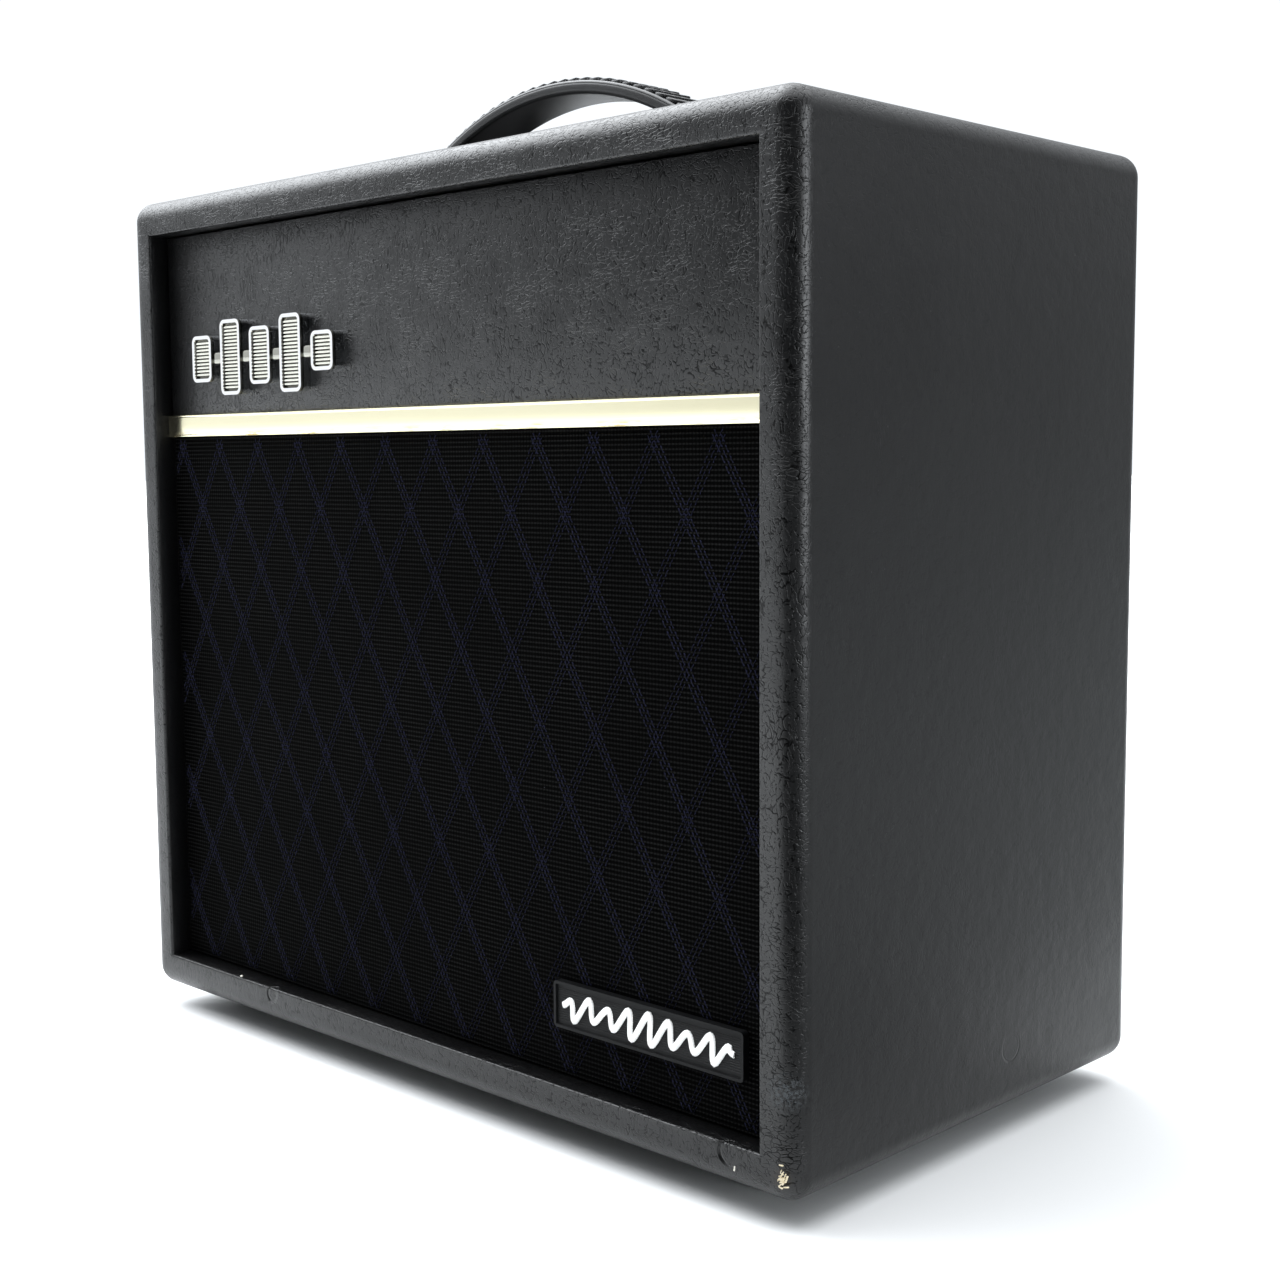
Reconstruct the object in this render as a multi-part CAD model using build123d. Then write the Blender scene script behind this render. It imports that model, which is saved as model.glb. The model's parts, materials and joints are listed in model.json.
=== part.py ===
from build123d import *
import math
import os

# Small guitar combo amplifier: vinyl-covered cabinet, top control panel, 8 inch speaker.
# Millimetres. Origin at bottom centre, on the floor under the feet. The front faces -Y,
# +X is to the right seen from the front, +Z is up.

# ---------------------------------------------------------------- driving dimensions
CABINET_WIDTH = 386.0
CABINET_DEPTH = 214.0
CABINET_HEIGHT = 358.0
EDGE_RADIUS = 9.0            # rounding of every outer edge
BOARD = 14.0                 # cabinet board thickness
SKIN = 0.8                   # vinyl covering thickness
WRAP_RADIUS = 1.2            # vinyl's rounding where it turns into a recess
FOOT_HEIGHT = 10.0
FOOT_RADIUS = 12.0
FOOT_INSET_X = 32.0          # foot centre from the cabinet's side
FOOT_INSET_Y = 36.0          # foot centre from the cabinet's front or back

FRONT_RECESS = 9.5           # front face to the grille cloth
REAR_RECESS = 10.0           # back face to the rear board
BAFFLE = 12.0
CLOTH = 1.0
REAR_BOARD = 9.0
PANEL_GAP = 0.5              # between a fitted panel and the lining round it

CLEAT = 15.0                 # square mounting strips
STRIP_BOTTOM = 263.5         # trim strip's lower edge above the floor
STRIP_HEIGHT = 9.7
STRIP_PROUD = 2.5            # trim strip beyond the cloth
FRONT_PANEL = 1.5            # covered panel above the strip

BADGE_WIDTH = 102.0
BADGE_DEPTH = 5.0
BADGE_CENTRE = (-100.0, 297.0)
BADGE_BARS = (20.0, 32.0, 24.0, 32.0, 16.0)
BADGE_BAR_WIDTH = 14.6
BADGE_LINK = 5.0

PLATE_WIDTH = 92.0
PLATE_HEIGHT = 17.4
PLATE_DEPTH = 3.0
PLATE_CENTRE = (119.4, 53.5)
PLATE_BORDER = 1.2
PLATE_RECESS = 0.9

WELL_LENGTH = 330.0          # opening in the top board over the controls
WELL_WIDTH = 66.0
WELL_CENTRE_Y = 49.0
WELL_CORNER = 6.0
PANEL_SHEET = 2.0            # control panel thickness
PANEL_BACK = 88.0            # its rear edge
CHASSIS_SHEET = 1.2
CHASSIS_GAP = 1.0            # flange to the side boards, each side
CHASSIS_FRONT = 12.0
CHASSIS_BOTTOM = 293.0
FLANGE = 8.0                 # end wall's lip, screwed up into the top board
REAR_PLATE_GAP = 0.2         # rear plate under the lining

HANDLE_Y = -14.0
STRAP_WIDTH = 26.0
STRAP_THICKNESS = 7.0
STRAP_RISE = 38.0            # top of the arch above the cabinet
STRAP_RADIUS = 136.5         # arch, at mid-thickness
STRAP_FOOT_RADIUS = 30.0     # reverse bend at each end, at mid-thickness
STRAP_TAB = 20.0             # flat end inside each cap
CAP_LENGTH = 40.0
CAP_WALL = 2.5               # under the strap and at its sides
CAP_COVER = 1.9              # over the strap
CAP_SCREW_DEPTH = 4.0        # counterbore
STRAP_PLAY = 0.3             # round the strap inside its caps
STRAP_EDGE = 2.0             # rounding of the strap's long edges

SPEAKER_Z = 145.0
FLANGE_RADIUS = 103.0
CUTOUT_RADIUS = 92.0
CONE_RADIUS = 75.0
MAGNET_RADIUS = 45.0
MAGNET_BORE = 20.0
MAGNET_HEIGHT = 15.0
COIL_RADIUS = 13.2
COIL_WALL = 0.4
PAPER = 0.8
FRAME_SHEET = 1.5
WAIST_RADIUS = 60.0          # inside of the frame where the spider is glued
WAIST_DEPTH = 30.0
LEDGE_RADIUS = 48.0
REAR_PLATE_DEPTH = 44.0
CONE_DEPTH = 26.0
CONE_LIP = 4.0               # flat rim glued to the surround
LIP_DEPTH = 0.6              # back of the surround's inner edge
DOME_RADIUS = 20.0
DOME_RISE = 7.0
SPIDER_WAVES = 10
SPEAKER_SCREWS = 8
LEAD_RADIUS = 2.0

KNOB_RADIUS = 10.0
KNOB_HEIGHT = 18.0
KNOB_SKIRT = 5.0
KNOB_REACH = 15.5            # pointer tip from the axis
KNOB_GAP = 0.5               # skirt above the panel
SPINDLE_RADIUS = 3.0
RUNNING_FIT = 0.05           # spindle in its bushing, radial
BUSH_RADIUS = 3.5
BUSH_HEIGHT = 4.5            # bushing above the panel
POT_RADIUS = 8.0
POT_HEIGHT = 7.0
KNOB_PLACES = {
    "amp": -110.0, "gain": -76.0, "treble": -42.0, "middle": -8.0,
    "bass": 26.0, "effect": 60.0, "volume": 112.0,
}
BUTTON_PLACES = {"channel": 86.0, "tap": 146.0}
BUTTON_RADIUS = 4.5
BUTTON_GAP = 0.3
BUTTON_TRAVEL = 1.5
BUTTON_RISE = 4.5
SWITCH_HALF = 6.0            # half the width of a push switch
SWITCH_HEIGHT = 7.0
SWITCH_BRACKET = 1.5         # its side plates, up to the panel
BUTTON_LIP = 1.2             # width and height of the flange that keeps a button in
LED_RADIUS = 1.5
LED_PLACES = (-134.0, 86.0, 146.0)
LED_OFFSET = 14.0            # in front of the button row

JACK_BORE = 3.25             # takes a 6.35 mm plug
JACK_BUSH = 5.0
JACK_DEPTH = 30.0
JACK_BODY = (20.0, 24.0)
JACK_NOSE = 3.0              # bushing beyond its panel
TOP_JACK_X = -150.0
REAR_JACKS = (-92.0, -120.0, -148.0)
REAR_JACK_Z = 322.0
NUT_HEIGHT = 1.8
NUT_GRIP = 1.5               # nut beyond its bushing, radial

INLET_X = 134.0
INLET_Z = 322.0
INLET_SIZE = (27.0, 20.0)
INLET_FLANGE = (48.0, 25.0)
INLET_DEPTH = 22.0
INLET_SOCKET = (24.0, 16.5, 16.0)
ROCKER_X = 88.0
ROCKER_SIZE = (13.0, 19.0)
ROCKER_BEZEL = (15.5, 21.5)
ROCKER_DEPTH = 18.0
ROCKER_GAP = 0.3
BEZEL_PROUD = 1.6
PIN_RADIUS = 1.2             # rocker's pivot
ROCKER_PIVOT = 3.2           # pivot axis behind the bezel's face
ROCKER_ANGLE = 9.0           # rest tilt each side of level
VENT_SIZE = (3.0, 24.0)
VENT_PITCH = 7.0
VENTS = 15
VENT_CENTRE_X = -4.0

INLET_PROUD = 2.5            # inlet's flange beyond the rear plate
INLET_PIN = (2.0, 4.0)

BOARD_STANDOFF = 6.0
CIRCUIT_SHEET = 1.6
CAPACITOR_RADIUS = 8.0
CAPACITOR_HEIGHT = 28.0
TRANSFORMER_X = 124.0
TRANSFORMER_Y = 42.0
FINS = 6
FIN = 1.5
VALVE_Y = 43.0
VALVE_RADIUS = 11.0
VALVE_LENGTH = 46.0

SHANK = 2.0                  # wood screws
HEAD = 4.0
HEAD_HEIGHT = 2.6
SCREW_ROOM = 1.0             # round a sunken head
SCREW_STOP = 2.0             # board left past a screw's point
GRIP = 14.0                  # shank's length past what it holds

# ---------------------------------------------------------------- derived planes
floor_z = FOOT_HEIGHT
roof_z = FOOT_HEIGHT + CABINET_HEIGHT
front_y = -CABINET_DEPTH / 2
back_y = CABINET_DEPTH / 2
core_x = CABINET_WIDTH / 2 - SKIN - BOARD        # inside of the side boards
core_bottom = floor_z + SKIN + BOARD
core_top = roof_z - SKIN - BOARD
lined_x = core_x - SKIN                          # inside of the recess linings
lined_bottom = core_bottom + SKIN
lined_top = core_top - SKIN
cloth_y = front_y + FRONT_RECESS
baffle_y = cloth_y + CLOTH
baffle_back = baffle_y + BAFFLE
rear_y = back_y - REAR_RECESS
rear_inside = rear_y - REAR_BOARD
panel_face = baffle_y - FRONT_PANEL
strip_top = STRIP_BOTTOM + STRIP_HEIGHT
panel_top = core_top
panel_under = core_top - PANEL_SHEET
fitted_x = lined_x - PANEL_GAP
fitted_bottom = lined_bottom + PANEL_GAP
fitted_top = lined_top - PANEL_GAP
chassis_floor = CHASSIS_BOTTOM + CHASSIS_SHEET
chassis_half = core_x - CHASSIS_GAP - FLANGE     # outside of the chassis' end walls
cap_height = CAP_WALL + STRAP_THICKNESS + 2 * STRAP_PLAY + CAP_COVER

parts = {}


# ---------------------------------------------------------------- shapes
def block(x0, x1, y0, y1, z0, z1):
    """Box between two corners."""
    return Pos((x0 + x1) / 2, (y0 + y1) / 2, (z0 + z1) / 2) * Box(x1 - x0, y1 - y0, z1 - z0)


def post(x, y, z0, z1, radius):
    """Upright cylinder."""
    return Pos(x, y, (z0 + z1) / 2) * Cylinder(radius, z1 - z0)


def barrel(x, z, y0, y1, radius):
    """Cylinder lying along Y."""
    return Pos(x, (y0 + y1) / 2, z) * Rot(90, 0, 0) * Cylinder(radius, y1 - y0)


def turned(points):
    """Solid of revolution about the speaker's axis: points are (radius, distance behind the baffle)."""
    outline = make_face(Polyline(*[(r, d) for r, d in points], close=True))
    solid = revolve(Plane.XY * outline, Axis.Y)
    return Pos(0, baffle_back, SPEAKER_Z) * solid


def slab(centre, size, y0, y1, corner=0.0):
    """Rectangle in X and Z, rounded at the corners, between two Y planes."""
    outline = RectangleRounded(*size, corner) if corner else Rectangle(*size)
    solid = extrude(Plane.XZ * outline, amount=y1 - y0)
    return Pos(centre[0], y1, centre[1]) * solid


def joined(solids):
    """Several solids kept as one node."""
    return Compound(children=list(solids))


def cut_all(solid, tools):
    for tool in tools:
        solid = solid - tool
    return solid


def round_box(half_x, y0, y1, z0, z1, radius):
    solid = block(-half_x, half_x, y0, y1, z0, z1)
    return fillet(solid.edges(), radius)


def y_screw(x, z, face, direction=-1):
    """Pan-head screw along Y: face is where its head seats, direction the way its shank goes."""
    head = barrel(x, z, *sorted((face, face - direction * HEAD_HEIGHT)), HEAD)
    crown = head.faces().sort_by(Axis.Y)[-1 if direction < 0 else 0].edges()
    head = fillet(crown, HEAD_HEIGHT * 0.45)
    slot_y = sorted((face - direction * HEAD_HEIGHT, face - direction * HEAD_HEIGHT * 0.5))
    slots = block(x - 2, x + 2, *slot_y, z - 0.4, z + 0.4) + block(x - 0.4, x + 0.4, *slot_y, z - 2, z + 2)
    return head - slots, sorted((face, face + direction * (GRIP + REAR_BOARD)))


def z_screw(x, y, face, direction, length):
    """Pan-head screw along Z: face is where its head seats, direction the way its shank goes."""
    head = post(x, y, *sorted((face, face - direction * HEAD_HEIGHT)), HEAD)
    crown = head.faces().sort_by(Axis.Z)[-1 if direction < 0 else 0].edges()
    head = fillet(crown, HEAD_HEIGHT * 0.45)
    slot_z = sorted((face - direction * HEAD_HEIGHT, face - direction * HEAD_HEIGHT * 0.5))
    slots = block(x - 2, x + 2, y - 0.4, y + 0.4, *slot_z) + block(x - 0.4, x + 0.4, y - 2, y + 2, *slot_z)
    return head - slots, sorted((face, face + direction * length))


# ---------------------------------------------------------------- cabinet
envelope = round_box(CABINET_WIDTH / 2 - SKIN, front_y + SKIN, back_y - SKIN,
                     floor_z + SKIN, roof_z - SKIN, EDGE_RADIUS - SKIN)
tunnel = block(-core_x, core_x, front_y, back_y, core_bottom, core_top)
well = Pos(0, WELL_CENTRE_Y, roof_z - BOARD) * extrude(
    RectangleRounded(WELL_LENGTH, WELL_WIDTH, WELL_CORNER), amount=2 * BOARD, both=True)
lined_well = Pos(0, WELL_CENTRE_Y, roof_z - BOARD) * extrude(
    RectangleRounded(WELL_LENGTH - 2 * SKIN, WELL_WIDTH - 2 * SKIN, WELL_CORNER - SKIN),
    amount=2 * BOARD, both=True)
carcass = envelope - tunnel
half_w = CABINET_WIDTH
top_board = (carcass & block(-half_w, half_w, front_y, back_y, core_top, roof_z)) - well
bottom_board = carcass & block(-half_w, half_w, front_y, back_y, floor_z, core_bottom)
left_board = carcass & block(-half_w, -core_x, front_y, back_y, core_bottom, core_top)
right_board = carcass & block(core_x, half_w, front_y, back_y, core_bottom, core_top)

outer = round_box(CABINET_WIDTH / 2, front_y, back_y, floor_z, roof_z, EDGE_RADIUS)
lining = (block(-core_x, core_x, front_y, baffle_back, core_bottom, core_top)
          + block(-core_x, core_x, rear_inside, back_y, core_bottom, core_top))
lined_tunnel = block(-lined_x, lined_x, front_y, back_y, lined_bottom, lined_top)
skin = (outer - envelope) + (lining & outer) - lined_tunnel
mouth_edges = [e for e in skin.edges().filter_by(GeomType.LINE)
               if abs(abs(e.center().Y) - back_y) < 0.01
               and abs(e.center().X) < lined_x + 0.01
               and lined_bottom - 0.01 < e.center().Z < lined_top + 0.01]
skin = fillet(mouth_edges, WRAP_RADIUS)
well_lining = (well & block(-half_w, half_w, front_y, back_y, core_top, roof_z)) - lined_well
vinyl = (skin - well) + well_lining

# ---------------------------------------------------------------- mounting strips
side_strip_x = (core_x - CLEAT, core_x)
rear_strip_top = CHASSIS_BOTTOM - 2.0
strips = []
for side in (-1, 1):
    xs = sorted(side * x for x in side_strip_x)
    strips.append(block(*xs, baffle_back, baffle_back + CLEAT, core_bottom, core_top))
    strips.append(block(*xs, rear_inside - CLEAT, rear_inside, core_bottom, rear_strip_top))
lower_strip_half = core_x - CLEAT
strips.append(block(-lower_strip_half, lower_strip_half, rear_inside - CLEAT, rear_inside,
                    core_bottom, core_bottom + CLEAT))

# ---------------------------------------------------------------- front
cutout = barrel(0, SPEAKER_Z, baffle_y, baffle_back, CUTOUT_RADIUS)
baffle = block(-fitted_x, fitted_x, baffle_y, baffle_back, fitted_bottom, fitted_top) - cutout
parts["grille_cloth"] = block(-fitted_x, fitted_x, cloth_y, baffle_y, fitted_bottom, STRIP_BOTTOM)
parts["front_panel"] = block(-fitted_x, fitted_x, panel_face, baffle_y, strip_top, fitted_top)

strip_face = cloth_y - STRIP_PROUD
trim = block(-lined_x + 0.2, lined_x - 0.2, strip_face, baffle_y, STRIP_BOTTOM, strip_top)
trim_edges = [e for e in trim.edges() if abs(e.center().Y - strip_face) < 0.01]
parts["trim_strip"] = fillet(trim_edges, 1.0)

bar_gap = (BADGE_WIDTH - len(BADGE_BARS) * BADGE_BAR_WIDTH) / (len(BADGE_BARS) - 1)
badge_front = panel_face - BADGE_DEPTH
badge = slab(BADGE_CENTRE, (BADGE_WIDTH - BADGE_BAR_WIDTH, BADGE_LINK), badge_front + 1.0, panel_face)
for index, height in enumerate(BADGE_BARS):
    bar_x = BADGE_CENTRE[0] - BADGE_WIDTH / 2 + BADGE_BAR_WIDTH / 2 + index * (BADGE_BAR_WIDTH + bar_gap)
    badge += slab((bar_x, BADGE_CENTRE[1]), (BADGE_BAR_WIDTH, height), badge_front, panel_face, 3.0)
parts["badge"] = badge

plate = slab(PLATE_CENTRE, (PLATE_WIDTH, PLATE_HEIGHT), cloth_y - PLATE_DEPTH, cloth_y, 1.6)
plate -= slab(PLATE_CENTRE, (PLATE_WIDTH - 2 * PLATE_BORDER, PLATE_HEIGHT - 2 * PLATE_BORDER),
              cloth_y - PLATE_DEPTH, cloth_y - PLATE_DEPTH + PLATE_RECESS, 0.9)
parts["nameplate"] = plate

# ---------------------------------------------------------------- rear board
rear_top = CHASSIS_BOTTOM - 1.0
rear_board = block(-fitted_x, fitted_x, rear_inside, rear_y, fitted_bottom, rear_top)
rear_screw_x = core_x - CLEAT / 2
lower_screw_z = core_bottom + CLEAT / 2
rear_places = [(side * rear_screw_x, z) for side in (-1, 1)
               for z in (lower_screw_z + 24, 125.0, 205.0, rear_top - 14)]
rear_places += [(x, lower_screw_z) for x in (-110.0, 0.0, 110.0)]
screws, pilots = [], []
for x, z in rear_places:
    head, span = y_screw(x, z, rear_y)
    shank = barrel(x, z, span[0], span[1], SHANK)
    screws.append(head + shank)
    pilots.append(shank)
flange_screws = []
for side in (-1, 1):
    for y in (32.0, 66.0):
        screw_x = side * (chassis_half + FLANGE / 2)
        head, span = z_screw(screw_x, y, core_top - CHASSIS_SHEET, 1, BOARD - SCREW_STOP)
        shank = post(screw_x, y, span[0], span[1], SHANK)
        flange_screws.append(head + shank)
        pilots.append(shank)
parts["rear_screws"] = joined(screws + flange_screws)
rear_board = cut_all(rear_board, pilots)

# ---------------------------------------------------------------- feet and handle
foot_x = CABINET_WIDTH / 2 - FOOT_INSET_X
foot_y = CABINET_DEPTH / 2 - FOOT_INSET_Y
foot_seat = 0.55 * floor_z                       # under the screw's head
feet, foot_screws = [], []
for x in (-foot_x, foot_x):
    for y in (-foot_y, foot_y):
        foot = Pos(x, y, floor_z / 2) * Cone(FOOT_RADIUS - 1.5, FOOT_RADIUS, floor_z)
        foot = fillet(foot.faces().sort_by(Axis.Z)[0].edges(), 1.2)
        head, span = z_screw(x, y, foot_seat, 1, floor_z - foot_seat + BOARD - SCREW_STOP)
        shank = post(x, y, span[0], span[1], SHANK)
        pilots.append(shank)
        feet.append(foot - post(x, y, 0, foot_seat, HEAD + SCREW_ROOM) - shank)
        foot_screws.append(head + shank)

# Arch of the strap: an outer arc, a reverse bend at each end and a flat tab in each cap.
tab_z = roof_z + CAP_WALL + STRAP_PLAY + STRAP_THICKNESS / 2
apex_z = roof_z + STRAP_RISE - STRAP_THICKNESS / 2
bend = math.acos(1 - (apex_z - tab_z) / (STRAP_RADIUS + STRAP_FOOT_RADIUS))
arch_x = STRAP_RADIUS * math.sin(bend)
arch_z = apex_z - STRAP_RADIUS * (1 - math.cos(bend))
foot_run = STRAP_FOOT_RADIUS * math.sin(bend)
tab_x = arch_x + foot_run
half_bend = bend / 2


def strap_line(offset):
    """Outline of one face of the strap, offset from its mid-thickness, left to right."""
    out = STRAP_RADIUS + offset
    back = STRAP_FOOT_RADIUS - offset
    arch = (out * math.sin(bend), apex_z - STRAP_RADIUS + out * math.cos(bend))
    mid = (tab_x - back * math.sin(half_bend), tab_z + STRAP_FOOT_RADIUS - back * math.cos(half_bend))
    tab = (tab_x, tab_z + offset)
    end = (tab_x + STRAP_TAB, tab_z + offset)
    top = (0, apex_z + offset)
    return arch, mid, tab, end, top


def strap_outline():
    upper = strap_line(STRAP_THICKNESS / 2)
    lower = strap_line(-STRAP_THICKNESS / 2)
    lines = []
    for (arch, mid, tab, end, top) in (upper, lower):
        mirrored = [(-x, z) for x, z in (arch, mid, tab, end)]
        lines += [Line(mirrored[3], mirrored[2]), ThreePointArc(mirrored[2], mirrored[1], mirrored[0]),
                  ThreePointArc(mirrored[0], top, arch), ThreePointArc(arch, mid, tab), Line(tab, end)]
    lines += [Line(upper[3], lower[3]),
              Line((-upper[3][0], upper[3][1]), (-lower[3][0], lower[3][1]))]
    return make_face(lines)


strap = extrude(Plane.XZ * strap_outline(), amount=STRAP_WIDTH)
strap = Pos(0, HANDLE_Y + STRAP_WIDTH / 2, 0) * strap
strap_sides = [e for e in strap.edges()
               if abs(abs(e.center().Y - HANDLE_Y) - STRAP_WIDTH / 2) < 0.01
               and abs(e.center().X) < tab_x + STRAP_TAB - 0.1]
parts["handle_strap"] = fillet(strap_sides, STRAP_EDGE)

cap_width = STRAP_WIDTH + 2 * (CAP_WALL + STRAP_PLAY)
cap_inner = tab_x + 3.0
cap_outer = cap_inner + CAP_LENGTH
cap_slot = (STRAP_WIDTH / 2 + STRAP_PLAY, STRAP_THICKNESS / 2 + STRAP_PLAY)
screw_x = tab_x + STRAP_TAB + 6.5
cap_seat = roof_z + cap_height - CAP_SCREW_DEPTH
caps, cap_screws = [], []
for side in (-1, 1):
    cap = block(*sorted((side * cap_inner, side * cap_outer)), HANDLE_Y - cap_width / 2,
                HANDLE_Y + cap_width / 2, roof_z, roof_z + cap_height)
    rounded = [e for e in cap.edges() if e.center().Z > roof_z + 0.01
               and side * e.center().X > cap_inner + 0.01]
    cap = fillet(rounded, 3.0)
    tunnel_x = sorted((side * cap_inner, side * (tab_x + STRAP_TAB + STRAP_PLAY)))
    cap -= block(*tunnel_x, HANDLE_Y - cap_slot[0], HANDLE_Y + cap_slot[0],
                 tab_z - cap_slot[1], tab_z + cap_slot[1])
    cap -= post(side * screw_x, HANDLE_Y, cap_seat, roof_z + cap_height, HEAD + SCREW_ROOM)
    head, span = z_screw(side * screw_x, HANDLE_Y, cap_seat, -1, cap_seat - roof_z + BOARD - SCREW_STOP)
    shank = post(side * screw_x, HANDLE_Y, span[0], span[1], SHANK)
    pilots.append(shank)
    caps.append(cap - shank)
    cap_screws.append(head + shank)
parts["handle_caps"] = joined(caps)
parts["feet"] = joined(feet)
parts["mounting_strips"] = joined([cut_all(s, pilots[:len(rear_places)]) for s in strips])
parts["rear_board"] = rear_board
parts["top_board"] = cut_all(top_board, pilots[len(rear_places):])
parts["bottom_board"] = cut_all(bottom_board, pilots[len(rear_places):])
parts["left_board"] = left_board
parts["right_board"] = right_board
parts["vinyl_covering"] = cut_all(vinyl, pilots[len(rear_places):])

# ---------------------------------------------------------------- speaker
frame_inner = CUTOUT_RADIUS - 8.0
frame_throat = MAGNET_BORE - 4.0
basket = turned([
    (frame_inner, 0), (FLANGE_RADIUS, 0), (FLANGE_RADIUS, FRAME_SHEET),
    (frame_inner + 2.6, FRAME_SHEET), (WAIST_RADIUS + FRAME_SHEET, WAIST_DEPTH + FRAME_SHEET),
    (LEDGE_RADIUS + FRAME_SHEET, WAIST_DEPTH + FRAME_SHEET),
    (LEDGE_RADIUS + FRAME_SHEET, REAR_PLATE_DEPTH + FRAME_SHEET),
    (frame_throat, REAR_PLATE_DEPTH + FRAME_SHEET), (frame_throat, REAR_PLATE_DEPTH),
    (LEDGE_RADIUS, REAR_PLATE_DEPTH), (LEDGE_RADIUS, WAIST_DEPTH),
    (WAIST_RADIUS, WAIST_DEPTH), (frame_inner, FRAME_SHEET),
])
window_y = (baffle_back + 5.0, baffle_back + WAIST_DEPTH - 3.0)
for index in range(6):
    window = block(-15, 15, *window_y, 50.0, 110.0)
    basket -= Pos(0, 0, SPEAKER_Z) * Rot(0, 60 * index + 30, 0) * window
terminal_z = SPEAKER_Z + LEDGE_RADIUS + FRAME_SHEET
terminal = block(-9, 9, baffle_back + WAIST_DEPTH + FRAME_SHEET, baffle_back + REAR_PLATE_DEPTH,
                 terminal_z - 3.0, terminal_z + 5.0)
terminal -= barrel(0, SPEAKER_Z, baffle_back, baffle_back + 60, LEDGE_RADIUS + 0.5)
basket += terminal

speaker_screw_ring = (CUTOUT_RADIUS + FLANGE_RADIUS) / 2
speaker_screws = []
for index in range(SPEAKER_SCREWS):
    angle = math.radians(360 / SPEAKER_SCREWS * (index + 0.5))
    x = speaker_screw_ring * math.cos(angle)
    z = SPEAKER_Z + speaker_screw_ring * math.sin(angle)
    head, _ = y_screw(x, z, baffle_back + FRAME_SHEET)
    shank = barrel(x, z, baffle_back - BAFFLE + 2.0, baffle_back + FRAME_SHEET, SHANK)
    speaker_screws.append(head + shank)
    basket -= shank
    baffle -= shank
parts["speaker_basket"] = basket
parts["plated_screws"] = joined(foot_screws + cap_screws + speaker_screws)
parts["baffle_board"] = baffle

magnet_front = REAR_PLATE_DEPTH + FRAME_SHEET + 5.0
magnet_back = magnet_front + MAGNET_HEIGHT
gap_radius = COIL_RADIUS + 0.9
pole_radius = COIL_RADIUS - COIL_WALL - 0.6
front_plate = turned([(gap_radius, magnet_front - 5), (MAGNET_RADIUS - 3, magnet_front - 5),
                      (MAGNET_RADIUS - 3, magnet_front), (gap_radius, magnet_front)])
pole = turned([(0, magnet_front - 5), (pole_radius, magnet_front - 5), (pole_radius, magnet_back),
               (MAGNET_RADIUS - 3, magnet_back), (MAGNET_RADIUS - 3, magnet_back + 5), (0, magnet_back + 5)])
parts["speaker_yoke"] = joined([front_plate, pole])
parts["speaker_magnet"] = turned([(MAGNET_BORE, magnet_front), (MAGNET_RADIUS, magnet_front),
                                  (MAGNET_RADIUS, magnet_back), (MAGNET_BORE, magnet_back)])

lip_inner = CONE_RADIUS - CONE_LIP
parts["speaker_cone"] = turned([
    (CONE_RADIUS, LIP_DEPTH), (CONE_RADIUS, LIP_DEPTH + PAPER), (lip_inner, LIP_DEPTH + PAPER),
    (COIL_RADIUS, CONE_DEPTH + PAPER), (COIL_RADIUS, CONE_DEPTH), (lip_inner, LIP_DEPTH)])
cone_slope = (CONE_DEPTH - LIP_DEPTH) / (lip_inner - COIL_RADIUS)
dome_foot = CONE_DEPTH - cone_slope * (DOME_RADIUS - COIL_RADIUS) - 0.45
dome_sphere = (DOME_RADIUS ** 2 + DOME_RISE ** 2) / (2 * DOME_RISE)
dome_centre = dome_foot - DOME_RISE + dome_sphere


def dome_point(radius, share):
    half = math.asin(DOME_RADIUS / dome_sphere) * share
    return radius * math.sin(half), dome_centre - radius * math.cos(half)


dome_outline = make_face([
    ThreePointArc(dome_point(dome_sphere, 0), dome_point(dome_sphere, 0.5), dome_point(dome_sphere, 1)),
    Line(dome_point(dome_sphere, 1), dome_point(dome_sphere - PAPER, 1)),
    ThreePointArc(dome_point(dome_sphere - PAPER, 1), dome_point(dome_sphere - PAPER, 0.5),
                  dome_point(dome_sphere - PAPER, 0)),
    Line(dome_point(dome_sphere - PAPER, 0), dome_point(dome_sphere, 0)),
])
parts["dust_cap"] = Pos(0, baffle_back, SPEAKER_Z) * revolve(dome_outline, Axis.Y)
coil_front = CONE_DEPTH - 6.0
coil_back = magnet_back - 6.0
parts["voice_coil"] = turned([(COIL_RADIUS - COIL_WALL, coil_front), (COIL_RADIUS, coil_front),
                              (COIL_RADIUS, coil_back), (COIL_RADIUS - COIL_WALL, coil_back)])
roll_outer = frame_inner - 0.5
roll_mid = (CONE_RADIUS + roll_outer) / 2
roll_radius = (roll_outer - CONE_RADIUS) / 2
lip_edge = CUTOUT_RADIUS - 0.5
roll_face = make_face([
    Line((lip_inner, LIP_DEPTH), (lip_inner, 0)),
    Line((lip_inner, 0), (CONE_RADIUS, 0)),
    ThreePointArc((CONE_RADIUS, 0), (roll_mid, -roll_radius), (roll_outer, 0)),
    Line((roll_outer, 0), (roll_outer + 0.2, -PAPER)),
    Line((roll_outer + 0.2, -PAPER), (lip_edge, -PAPER)),
    Line((lip_edge, -PAPER), (lip_edge, 0)),
    Line((lip_edge, 0), (frame_inner, 0)),
    Line((frame_inner, 0), (roll_outer - 0.2, LIP_DEPTH)),
    ThreePointArc((roll_outer - 0.2, LIP_DEPTH), (roll_mid, PAPER - roll_radius), (CONE_RADIUS, LIP_DEPTH)),
    Line((CONE_RADIUS, LIP_DEPTH), (lip_inner, LIP_DEPTH)),
])
parts["speaker_surround"] = Pos(0, baffle_back, SPEAKER_Z) * revolve(roll_face, Axis.Y)
spider_depth = WAIST_DEPTH - 0.8
spider_inner = COIL_RADIUS + 0.3
wave_step = (WAIST_RADIUS - 4 - spider_inner) / SPIDER_WAVES
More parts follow.
